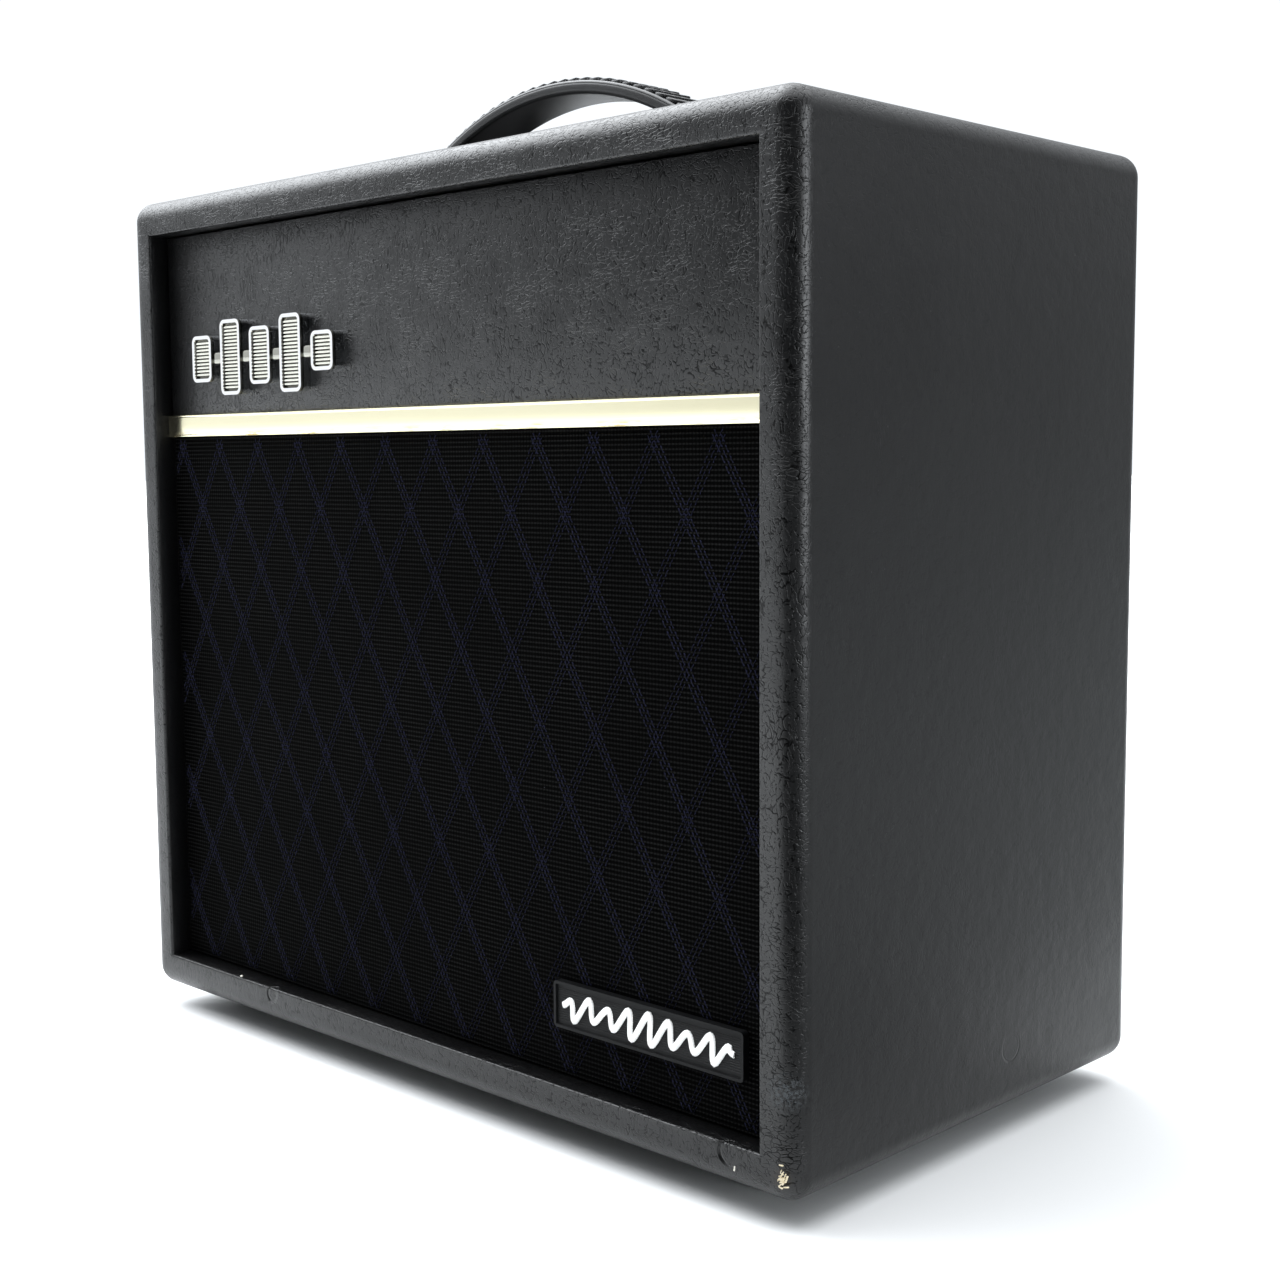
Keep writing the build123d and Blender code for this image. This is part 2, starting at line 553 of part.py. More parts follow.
spider_points = [(spider_inner + i * wave_step, spider_depth - i % 2) for i in range(SPIDER_WAVES + 1)]
parts["speaker_spider"] = turned(spider_points + [(r, d + 0.8) for r, d in reversed(spider_points)])

# Speaker lead: from the chassis' underside down to the terminal strip on the frame.
terminal_y = baffle_back + (WAIST_DEPTH + FRAME_SHEET + REAR_PLATE_DEPTH) / 2
lead_route = [
    (0.0, 40.0, CHASSIS_BOTTOM), (0.0, 40.0, CHASSIS_BOTTOM - 22.0), (-3.0, 27.0, 253.0),
    (-6.0, 6.0, 240.0), (-4.0, -17.0, 233.0), (0.0, terminal_y, terminal_z + 26.0),
    (0.0, terminal_y, terminal_z + 5.0),
]


def lead_radii(route):
    """Bend radius at each inner point: 0.45 of the shorter run over the tangent of half the turn."""
    radii = []
    for a, b, c in zip(route, route[1:], route[2:]):
        into, away = Vector(*b) - Vector(*a), Vector(*c) - Vector(*b)
        turn = math.radians(into.get_angle(away))
        radii.append(0.45 * min(into.length, away.length) / math.tan(turn / 2))
    return radii


radii = lead_radii(lead_route)
print("speaker lead radii", [round(r, 1) for r in radii])
lead_path = FilletPolyline(*lead_route, radius=radii)
lead_section = Plane(origin=lead_path @ 0, z_dir=lead_path % 0) * Circle(LEAD_RADIUS)
lead = sweep(lead_section, path=lead_path)
print("speaker lead volume ratio", round(lead.volume / (math.pi * LEAD_RADIUS ** 2 * lead_path.length), 4))
parts["speaker_lead"] = lead

# ---------------------------------------------------------------- chassis
inside = chassis_half - CHASSIS_SHEET
rear_wall = rear_y - CHASSIS_SHEET
floor_sheet = block(-chassis_half, chassis_half, CHASSIS_FRONT, rear_wall, CHASSIS_BOTTOM, chassis_floor)
front_wall = block(-inside, inside, CHASSIS_FRONT, CHASSIS_FRONT + CHASSIS_SHEET, chassis_floor, panel_under)
sheets = [floor_sheet, front_wall]
for side in (-1, 1):
    wall = sorted((side * inside, side * chassis_half))
    lip = sorted((side * inside, side * (chassis_half + FLANGE)))
    end_wall = (block(*wall, CHASSIS_FRONT, rear_wall, chassis_floor, panel_under)
                + block(*wall, CHASSIS_FRONT, PANEL_BACK, panel_under, core_top)
                + block(*lip, CHASSIS_FRONT + 8, PANEL_BACK - 8, core_top - CHASSIS_SHEET, core_top))
    sheets.append(cut_all(end_wall, pilots[len(rear_places):]))
parts["chassis_tray"] = joined(sheets)

rear_plate = block(-fitted_x, fitted_x, rear_wall, rear_y, CHASSIS_BOTTOM, lined_top - REAR_PLATE_GAP)
for index in range(VENTS):
    x = VENT_CENTRE_X + (index - (VENTS - 1) / 2) * VENT_PITCH
    rear_plate -= slab((x, REAR_JACK_Z), VENT_SIZE, rear_wall, rear_y, VENT_SIZE[0] / 2 - 0.01)
rear_plate -= slab((INLET_X, INLET_Z), INLET_SIZE, rear_wall, rear_y, 2.0)
rear_plate -= slab((ROCKER_X, INLET_Z), ROCKER_SIZE, rear_wall, rear_y)
for x in REAR_JACKS:
    rear_plate -= barrel(x, REAR_JACK_Z, rear_wall, rear_y, JACK_BUSH)
parts["chassis_rear_plate"] = rear_plate

panel = block(-inside, inside, CHASSIS_FRONT, PANEL_BACK, panel_under, panel_top)
for x in KNOB_PLACES.values():
    panel -= post(x, WELL_CENTRE_Y, panel_under, panel_top, BUSH_RADIUS)
for x in BUTTON_PLACES.values():
    panel -= post(x, WELL_CENTRE_Y, panel_under, panel_top, BUTTON_RADIUS + BUTTON_GAP)
for x in LED_PLACES:
    panel -= post(x, WELL_CENTRE_Y - LED_OFFSET, panel_under, panel_top, LED_RADIUS)
panel -= post(TOP_JACK_X, WELL_CENTRE_Y, panel_under, panel_top, JACK_BUSH)
parts["control_panel"] = panel


def nut_across(radius, x, y, z0, z1):
    hexagon = extrude(RegularPolygon(radius + NUT_GRIP, 6, major_radius=False), amount=z1 - z0)
    return Pos(x, y, z0) * hexagon - post(x, y, z0, z1, radius)


# Jacks: an input on the top panel, and phones, footswitch and line in at the back.
jacks, nuts = [], []
jack_w, jack_h = JACK_BODY
top_jack = (block(TOP_JACK_X - jack_w / 2, TOP_JACK_X + jack_w / 2, WELL_CENTRE_Y - jack_h / 2,
                  WELL_CENTRE_Y + jack_h / 2, panel_under - JACK_DEPTH + JACK_NOSE, panel_under)
            + post(TOP_JACK_X, WELL_CENTRE_Y, panel_under, panel_top + JACK_NOSE, JACK_BUSH))
jack_mouth = panel_top + JACK_NOSE
top_jack -= post(TOP_JACK_X, WELL_CENTRE_Y, jack_mouth - JACK_DEPTH, jack_mouth, JACK_BORE)
jacks.append(top_jack)
nuts.append(nut_across(JACK_BUSH, TOP_JACK_X, WELL_CENTRE_Y, panel_top, panel_top + NUT_HEIGHT))
for x in REAR_JACKS:
    jack = (block(x - jack_w / 2, x + jack_w / 2, rear_wall - JACK_DEPTH + JACK_NOSE, rear_wall,
                  REAR_JACK_Z - jack_h / 2, REAR_JACK_Z + jack_h / 2)
            + barrel(x, REAR_JACK_Z, rear_wall, rear_y + JACK_NOSE, JACK_BUSH))
    jack_mouth = rear_y + JACK_NOSE
    jacks.append(jack - barrel(x, REAR_JACK_Z, jack_mouth - JACK_DEPTH, jack_mouth, JACK_BORE))
    nut = nut_across(JACK_BUSH, 0, 0, 0, NUT_HEIGHT)
    nuts.append(Pos(x, rear_y, REAR_JACK_Z) * Rot(-90, 0, 0) * nut)
parts["jack_sockets"] = joined(jacks)

# ---------------------------------------------------------------- knobs, pots and buttons
knob_bottom = panel_top + KNOB_GAP
knob_top = knob_bottom + KNOB_HEIGHT
spindle_bottom = panel_under - POT_HEIGHT + 1.5
spindle_top = knob_top - 4.0
bush_top = panel_top + BUSH_HEIGHT
pots = []
for name, x in KNOB_PLACES.items():
    pot = (post(x, WELL_CENTRE_Y, panel_under - POT_HEIGHT, panel_under, POT_RADIUS)
           + post(x, WELL_CENTRE_Y, panel_under, bush_top, BUSH_RADIUS))
    pots.append(pot - post(x, WELL_CENTRE_Y, spindle_bottom - 0.3, bush_top, SPINDLE_RADIUS + RUNNING_FIT))
    nuts.append(nut_across(BUSH_RADIUS, x, WELL_CENTRE_Y, panel_top, panel_top + NUT_HEIGHT))
    spindle = post(x, WELL_CENTRE_Y, spindle_bottom, spindle_top, SPINDLE_RADIUS)
    skirt = post(x, WELL_CENTRE_Y, knob_bottom, knob_bottom + KNOB_SKIRT, KNOB_RADIUS)
    tail = KNOB_RADIUS - 1.0
    pointer = make_face(Polyline((-4.6, -tail), (4.6, -tail), (4.8, 0), (1.0, KNOB_REACH), (-1.0, KNOB_REACH),
                                 (-4.8, 0), close=True))
    grip = Pos(x, WELL_CENTRE_Y, knob_bottom + 1.0) * extrude(pointer, amount=KNOB_HEIGHT - 1.0)
    knob = fillet((skirt + grip).faces().sort_by(Axis.Z)[-1].edges(), 1.0)
    recess = post(x, WELL_CENTRE_Y, knob_bottom, bush_top + 0.8, BUSH_RADIUS + NUT_GRIP + 1.6)
    knob = knob - recess - post(x, WELL_CENTRE_Y, bush_top, spindle_top, SPINDLE_RADIUS)
    parts[name + "_knob"] = knob
    parts[name + "_spindle"] = spindle
parts["pot_bodies"] = joined(pots)
parts["bushing_nuts"] = joined(nuts)

# Rocker housing with its bezel, and two push switches under the buttons.
bezel_x, bezel_z = ROCKER_BEZEL
hole_x, hole_z = ROCKER_SIZE
bezel_face = rear_y + BEZEL_PROUD
housing = (slab((ROCKER_X, INLET_Z), ROCKER_BEZEL, rear_y, bezel_face, 1.0)
           + slab((ROCKER_X, INLET_Z), ROCKER_SIZE, rear_y - ROCKER_DEPTH, rear_y))
pocket = (hole_x - 3.0, hole_z - 3.0)
housing -= slab((ROCKER_X, INLET_Z), pocket, rear_y - 9.0, bezel_face)
pivot_y = bezel_face - ROCKER_PIVOT
pin_half = hole_x / 2 - 0.8


def pivot(radius, half):
    return Pos(ROCKER_X, pivot_y, INLET_Z) * Rot(0, 90, 0) * Cylinder(radius, 2 * half)


housing -= pivot(PIN_RADIUS + RUNNING_FIT, pin_half + 0.1)
rocker_half = pocket[1] / 2 - 1.2
rocker_side = make_face(Polyline((2.6, -rocker_half), (1.2, 0), (2.6, rocker_half),
                                 (-1.6, rocker_half), (-3.4, 0), (-1.6, -rocker_half), close=True))
rocker = extrude(Plane.YZ * rocker_side, amount=pocket[0] / 2 - ROCKER_GAP, both=True)
rocker = Pos(ROCKER_X, pivot_y, INLET_Z) * Rot(ROCKER_ANGLE, 0, 0) * rocker
parts["power_rocker"] = rocker + pivot(PIN_RADIUS, pin_half)

button_switches = []
for name, x in BUTTON_PLACES.items():
    lip_top = panel_under - 0.2
    cap = (post(x, WELL_CENTRE_Y, lip_top, panel_top + BUTTON_RISE, BUTTON_RADIUS)
           + post(x, WELL_CENTRE_Y, lip_top - BUTTON_LIP, lip_top, BUTTON_RADIUS + BUTTON_LIP))
    parts[name + "_button"] = fillet(cap.faces().sort_by(Axis.Z)[-1].edges(), 0.8)
    body_top = lip_top - BUTTON_LIP - BUTTON_TRAVEL - 0.3
    ys = (WELL_CENTRE_Y - SWITCH_HALF, WELL_CENTRE_Y + SWITCH_HALF)
    base = body_top - SWITCH_HEIGHT
    body = block(x - SWITCH_HALF, x + SWITCH_HALF, *ys, base, body_top)
    for side in (-1, 1):
        bracket = sorted((x + side * SWITCH_HALF, x + side * (SWITCH_HALF + SWITCH_BRACKET)))
        body += block(*bracket, *ys, base, panel_under)
    button_switches.append(body)
parts["switch_bodies"] = joined([housing] + button_switches)
parts["indicator_leds"] = joined(
    [post(x, WELL_CENTRE_Y - LED_OFFSET, panel_under - 3, panel_top + 0.8, LED_RADIUS) for x in LED_PLACES])

# ---------------------------------------------------------------- mains inlet
inlet_face = rear_y + INLET_PROUD
inlet = (slab((INLET_X, INLET_Z), INLET_FLANGE, rear_y, inlet_face, 3.0)
         + slab((INLET_X, INLET_Z), INLET_SIZE, rear_y - INLET_DEPTH, rear_y, 2.0))
socket_w, socket_h, socket_d = INLET_SOCKET
socket_floor = inlet_face - socket_d
socket_hole = slab((INLET_X, INLET_Z), (socket_w, socket_h), socket_floor, inlet_face)
keyed = [e for e in socket_hole.edges().filter_by(Axis.Y) if e.center().Z > INLET_Z]
inlet -= chamfer(keyed, 4.5)
pins = []
for dx, dz in ((0.0, 2.2), (-7.0, -2.0), (7.0, -2.0)):
    pin = slab((INLET_X + dx, INLET_Z + dz), INLET_PIN, socket_floor - 3, inlet_face - 4)
    pins.append(pin)
    inlet -= pin
for side in (-1, 1):
    ear_x = INLET_X + side * (INLET_FLANGE[0] / 2 - 4)
    inlet -= barrel(ear_x, INLET_Z, rear_y, inlet_face, 1.6)
parts["power_inlet"] = inlet
parts["inlet_pins"] = joined(pins)

# ---------------------------------------------------------------- electronics in the tray
circuit_z = chassis_floor + BOARD_STANDOFF + CIRCUIT_SHEET
circuit_x = (-160.0, 66.0)
circuit_y = (CHASSIS_FRONT + 8.0, 66.0)
circuit = block(*circuit_x, *circuit_y, circuit_z - CIRCUIT_SHEET, circuit_z)
for x in (circuit_x[0] + 8, circuit_x[1] - 8):
    for y in (circuit_y[0] + 6, circuit_y[1] - 6):
        circuit += post(x, y, chassis_floor, circuit_z - CIRCUIT_SHEET, 3.0)
parts["main_board"] = circuit
capacitor_places = ((52.0, 32.0), (52.0, 53.0), (30.0, 32.0), (30.0, 53.0))
capacitor_top = circuit_z + CAPACITOR_HEIGHT
parts["capacitors"] = joined([post(x, y, circuit_z, capacitor_top, CAPACITOR_RADIUS)
                              for x, y in capacitor_places])

stack = block(TRANSFORMER_X - 30, TRANSFORMER_X + 30, TRANSFORMER_Y - 11, TRANSFORMER_Y + 11,
              chassis_floor, chassis_floor + 42)
winding = block(TRANSFORMER_X - 19, TRANSFORMER_X + 19, TRANSFORMER_Y - 22, TRANSFORMER_Y + 22,
                chassis_floor + 6, chassis_floor + 36)
winding = fillet(winding.edges().filter_by(Axis.Z), 5)
parts["power_transformer"] = stack + winding

sink_x, sink_y = (-18.0, 12.0), (26.0, 60.0)
sink = block(*sink_x, *sink_y, circuit_z, circuit_z + 4)
for index in range(FINS):
    fin_x = sink_x[0] + index * (sink_x[1] - sink_x[0] - FIN) / (FINS - 1)
    sink += block(fin_x, fin_x + FIN, *sink_y, circuit_z + 4, circuit_z + 28)
parts["heatsink"] = sink

# Twin-triode valve lying along X in its nine-pin socket.
valve_z = circuit_z + 16.0
socket_x = -128.0


def along_x(x0, x1, radius):
    return Pos((x0 + x1) / 2, VALVE_Y, valve_z) * Rot(0, 90, 0) * Cylinder(radius, x1 - x0)


valve_socket = (along_x(socket_x - 9, socket_x, VALVE_RADIUS)
                + block(socket_x - 9, socket_x - 6, VALVE_Y - 13, VALVE_Y + 13, circuit_z, valve_z))
parts["valve_socket"] = valve_socket
glass = along_x(socket_x, socket_x + VALVE_LENGTH, VALVE_RADIUS)
glass = fillet(glass.faces().sort_by(Axis.X)[-1].edges(), VALVE_RADIUS * 0.7)
tip = Pos(socket_x + VALVE_LENGTH + 2, VALVE_Y, valve_z) * Rot(0, 90, 0) * Cone(2.6, 0.8, 5)
parts["valve"] = glass + tip

# ---------------------------------------------------------------- write one file per piece
os.makedirs("parts", exist_ok=True)
for name, shape in parts.items():
    shape.label = name
    export_step(shape, "parts/" + name + ".step")
print(len(parts), "nodes written")
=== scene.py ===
import itertools
import json
import math
import random

import bmesh
import bpy
from mathutils import Matrix, Vector


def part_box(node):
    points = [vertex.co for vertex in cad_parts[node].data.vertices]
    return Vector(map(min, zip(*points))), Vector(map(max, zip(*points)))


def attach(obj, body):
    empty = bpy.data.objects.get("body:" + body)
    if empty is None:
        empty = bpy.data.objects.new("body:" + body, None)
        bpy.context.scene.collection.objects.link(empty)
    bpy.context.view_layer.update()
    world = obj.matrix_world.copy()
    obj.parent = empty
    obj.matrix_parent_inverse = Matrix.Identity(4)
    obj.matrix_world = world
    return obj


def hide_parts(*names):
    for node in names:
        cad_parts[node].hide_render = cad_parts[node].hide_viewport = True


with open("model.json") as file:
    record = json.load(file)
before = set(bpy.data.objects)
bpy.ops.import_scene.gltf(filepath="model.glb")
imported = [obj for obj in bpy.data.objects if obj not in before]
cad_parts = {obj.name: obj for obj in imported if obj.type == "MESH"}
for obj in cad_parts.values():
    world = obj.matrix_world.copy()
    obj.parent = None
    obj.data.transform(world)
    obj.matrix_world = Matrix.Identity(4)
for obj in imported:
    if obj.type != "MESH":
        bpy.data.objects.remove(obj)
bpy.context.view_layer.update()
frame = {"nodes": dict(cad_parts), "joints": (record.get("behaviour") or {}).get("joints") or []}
NODES = frame["nodes"]
MM = 0.001

# ---------------------------------------------------------------- sizes, in millimetres
EDGE_ROUND = 9.0             # cabinet's outer edges
SKIN = 0.8                   # vinyl covering
MOUTH_ROUND = 1.2            # where the vinyl turns into a recess
LINING_DEPTH = 22.5          # front lining, back to the baffle's rear face
RIB_PITCH = 1.75             # grille cloth's cross ribs
RIB_RISE = 0.34
RIB_STEPS = 4                # facets round one rib
DIAMOND = (29.3, 51.6)       # one diamond of the cloth
DIAMOND_CENTRE = (20.4, 233.0)
THREAD_GAP = 1.9             # between the three threads of a diagonal
THREAD_ROOM = 0.15           # depth kept in front of the ribs for the threads
STITCH_WIDTHS = {-1: 0.66, 1: 0.42}   # threads that fall to the right, and those that rise to it
BADGE_RIM = 1.5              # emblem: rim round each bar, and pitch of the ribs in it
BADGE_RIB = 1.5
BADGE_BARS = (20.0, 32.0, 24.0, 32.0, 16.0)   # heights of its bars
BADGE_BAR_WIDTH = 14.6
BADGE_LINK = 5.0             # height of the rail that joins them
PLATE_RIB = 0.9              # nameplate's fine ribs
TRACE_RADIUS = 1.3           # white wave line on it
TRACE_HEIGHT = 5.6
TRACE_WAVES = 8.5
PAD_PITCH = (6.2, 5.6)       # handle's raised pads, along and across
PAD_SIZE = (5.0, 4.9)
PAD_RISE = 1.7
BEAD = 2.4                   # rounded bead along each edge of the strap
STRAP_CUTS = 89              # steps of the strap's curve
WELL = (-164.2, 16.8), (164.2, 81.2)  # two corners of the opening over the control panel
WELL_CORNER = 5.2
# knocks in the covering: centre, radius and strength (of the dent and of its painted shade), two on the lower
# rail and one on the right side
KNOCKS = (((164.2, -107.0, 22.5), 4.8, 0.8),
          ((-97.5, -107.0, 23.2), 4.2, 0.7),
          ((193.0, 19.2, 34.5), 6.0, 0.2))
TORN = (186.8, -106.6, 19.8)     # corner where the board shows
RUBBED = (188.0, -105.0, 48.5)   # scuffed patch on the near edge
STAPLES = (167.0, 17.9, 0.2), (-121.0, 26.6, 1.3)   # across, height and turn in radians
TICK_RADIUS = 11.6           # dial marks, from the knob's centre


def low(node):
    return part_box(node)[0] / MM


def high(node):
    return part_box(node)[1] / MM


# ---------------------------------------------------------------- mesh helpers
def finish_mesh(bm, name, body, material, smooth=30.0, stands_for=()):
    """Turns a bmesh in millimetres into a piece at the origin that rides on a body."""
    bmesh.ops.scale(bm, vec=(MM, MM, MM), verts=bm.verts)
    mesh = bpy.data.meshes.new(name)
    bm.to_mesh(mesh)
    bm.free()
    piece = bpy.data.objects.new(name, mesh)
    bpy.context.scene.collection.objects.link(piece)
    mesh.materials.append(material)
    if smooth:
        mesh.shade_smooth()
        mesh.set_sharp_from_angle(angle=math.radians(smooth))
    if stands_for:
        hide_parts(*stands_for)
    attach(piece, body)
    return piece


def box_into(bm, lower, upper, bevel=0.0, segments=2, edges=None):
    """Adds a box between two corners, with its edges (or those that a test picks) rounded."""
    lower, upper = Vector(lower), Vector(upper)
    made = bmesh.ops.create_cube(bm, size=1.0)["verts"]
    bmesh.ops.scale(bm, vec=upper - lower, verts=made)
    bmesh.ops.translate(bm, vec=(upper + lower) / 2, verts=made)
    if bevel:
        picked = {e for v in made for e in v.link_edges if edges is None or edges(e)}
        bmesh.ops.bevel(bm, geom=list(picked), offset=bevel, segments=segments, profile=0.5,
                        affect="EDGES", material=-1, clamp_overlap=True)


def along(axis):
    """Test for edges that run along one axis."""
    def test(edge):
        run = (edge.verts[0].co - edge.verts[1].co).normalized()
        return abs(run[axis]) > 0.99
    return test


def front_face(bm, before):
    """The largest face that looks forward, among those made since a set of faces was kept."""
    made = [f for f in bm.faces if f not in before and f.normal.y < -0.99]
    return max(made, key=lambda f: f.calc_area())


def extrude_face(bm, face, move):
    """Extrudes a face and moves the new one. Returns the new vertices and faces."""
    made = bmesh.ops.extrude_face_region(bm, geom=[face])["geom"]
    moved = [g for g in made if isinstance(g, bmesh.types.BMVert)]
    bmesh.ops.translate(bm, vec=move, verts=moved)
    return moved, [g for g in made if isinstance(g, bmesh.types.BMFace)]


def turned_box_into(bm, lower, upper, turn, place, bevel=0.0, segments=2):
    """Adds a box that is built about the origin, turned there and moved to its place."""
    before = set(bm.verts)
    box_into(bm, lower, upper, bevel, segments)
    made = [v for v in bm.verts if v not in before]
    bmesh.ops.rotate(bm, cent=(0, 0, 0), matrix=turn, verts=made)
    bmesh.ops.translate(bm, vec=place, verts=made)


def disc_into(bm, centre, radius, depth, axis="Y", segments=48, bevel=0.0):
    """Adds a short cylinder centred on a point, along X, Y or Z."""
    made = bmesh.ops.create_cone(bm, cap_ends=True, segments=segments, radius1=radius, radius2=radius,
                                 depth=depth)["verts"]
    turn = {"X": Matrix.Rotation(math.pi / 2, 3, "Y"), "Y": Matrix.Rotation(math.pi / 2, 3, "X"),
            "Z": Matrix.Identity(3)}[axis]
    bmesh.ops.rotate(bm, cent=(0, 0, 0), matrix=turn, verts=made)
    bmesh.ops.translate(bm, vec=centre, verts=made)
    if bevel:
        rims = {e for v in made for e in v.link_edges
                if len(e.link_faces) == 2 and any(len(f.verts) > 4 for f in e.link_faces)}
        bmesh.ops.bevel(bm, geom=list(rims), offset=bevel, segments=2, profile=0.5, affect="EDGES",
                        material=-1)
    return made


# ---------------------------------------------------------------- material helpers
def colour(hex_value, strength=1.0):
    """sRGB hex to linear RGBA."""
    def linear(c):
        return c / 12.92 if c <= 0.04045 else ((c + 0.055) / 1.055) ** 2.4
    channels = [int(hex_value[i:i + 2], 16) / 255 for i in (1, 3, 5)]
    return (*[linear(c) * strength for c in channels], 1.0)


def add(tree, kind, links=None, out=0, **settings):
    """Adds one node with its settings, and its inputs: values or other nodes' outputs. Returns one output."""
    made = tree.nodes.new("ShaderNode" + kind)
    for name, value in settings.items():
        setattr(made, name, value)
    for key, value in (links or {}).items():
        if isinstance(value, bpy.types.NodeSocket):
            tree.links.new(value, made.inputs[key])
        else:
            made.inputs[key].default_value = value
    return made.outputs[out]


def new_material(name, base, roughness, metallic=0.0, ior=None):
    """A Principled material, returned with its tree, its shader and an Object coordinate socket."""
    material = bpy.data.materials.new(name)
    material.use_nodes = True
    tree = material.node_tree
    shader = tree.nodes["Principled BSDF"]
    shader.inputs["Base Color"].default_value = base
    shader.inputs["Roughness"].default_value = roughness
    shader.inputs["Metallic"].default_value = metallic
    if ior:
        shader.inputs["IOR"].default_value = ior
    place = add(tree, "TexCoord", out="Object")
    return material, tree, shader, place


def per_mm(size):
    """Texture scale whose features are about this many millimetres apart."""
    return 1.0 / (size * MM)


# ---------------------------------------------------------------- materials
def near_spot(tree, place, centre, inner, outer):
    """1 within inner millimetres of a point in the row's frame, falling to 0 at outer."""
    away = add(tree, "VectorMath", {0: place, 1: [c * MM for c in centre]}, out="Value", operation="DISTANCE")
    return add(tree, "MapRange",
               {"Value": away, "From Min": inner * MM, "From Max": outer * MM, "To Min": 1.0, "To Max": 0.0})


def add_wear(tree, shader, place, normal, base, gloss):
    """Two knocks on the lower rail and one on the right side, each with painted shade in a crescent, a torn
    corner, a rubbed patch and some dust.
    """
    dents, cuts = 0.0, 0.0
    for (x, y, z), radius, depth in KNOCKS:
        cup = near_spot(tree, place, (x, y, z), radius * 0.7, radius)
        inner = near_spot(tree, place, (x + 1.5, y, z + 0.5), radius - 0.6, radius - 0.1)
        crescent = add(tree, "Math", {0: cup, 1: add(tree, "Math", {0: 1.0, 1: inner}, operation="SUBTRACT")},
                       operation="MULTIPLY")
        dents = add(tree, "Math",
                    {0: add(tree, "Math", {0: cup, 1: -0.35 * depth}, operation="MULTIPLY"), 1: dents},
                    operation="ADD")
        cuts = add(tree, "Math",
                   {0: add(tree, "Math", {0: crescent, 1: min(1.0, depth * 1.6)}, operation="MULTIPLY"),
                    1: cuts}, operation="ADD")
    tree.links.new(add(tree, "Bump",
                       {"Height": add(tree, "Math", {0: dents, 1: cuts}, operation="SUBTRACT"),
                        "Distance": 0.9 * MM, "Normal": normal}), shader.inputs["Normal"])
    # painted shade: a crescent on one side of each knock is painted darker, as well as pressed deeper
    base = add(tree, "Mix", {0: cuts, 6: base, 7: colour("#000000")}, out=2, data_type="RGBA")
    tear = near_spot(tree, place, TORN, 1.5, 4.5)
    ragged = add(tree, "MapRange",
                 {"Value": add(tree, "TexNoise",
                               {"Vector": place, "Scale": per_mm(1.2), "Detail": 3.0, "Roughness": 0.6}),
                  "From Min": 0.4, "From Max": 0.5})
    base = add(tree, "Mix",
               {0: add(tree, "Math", {0: tear, 1: ragged}, operation="MULTIPLY"), 6: base,
                7: colour("#231c12")}, out=2, data_type="RGBA")
    rubbed = near_spot(tree, place, RUBBED, 3.0, 8.0)
    flecks = add(tree, "MapRange",
                 {"Value": add(tree, "TexNoise",
                               {"Vector": place, "Scale": per_mm(1.3), "Detail": 4.0, "Roughness": 0.7}),
                  "From Min": 0.48, "From Max": 0.58})
    scuff = add(tree, "Math", {0: rubbed, 1: flecks}, operation="MULTIPLY")
    base = add(tree, "Mix", {0: scuff, 6: base, 7: colour("#363a3d")}, out=2, data_type="RGBA")
    dust = add(tree, "MapRange",
               {"Value": add(tree, "TexNoise", {"Vector": place, "Scale": per_mm(0.9)}), "From Min": 0.76,
                "From Max": 0.8})
    base = add(tree, "Mix",
               {0: add(tree, "Math", {0: dust, 1: 0.35}, operation="MULTIPLY"), 6: base,
                7: colour("#8c8c8c")}, out=2, data_type="RGBA")
    rougher = add(tree, "Math", {0: gloss, 1: add(tree, "Math", {0: scuff, 1: 0.25}, operation="MULTIPLY")},
                  operation="ADD")
    return base, rougher


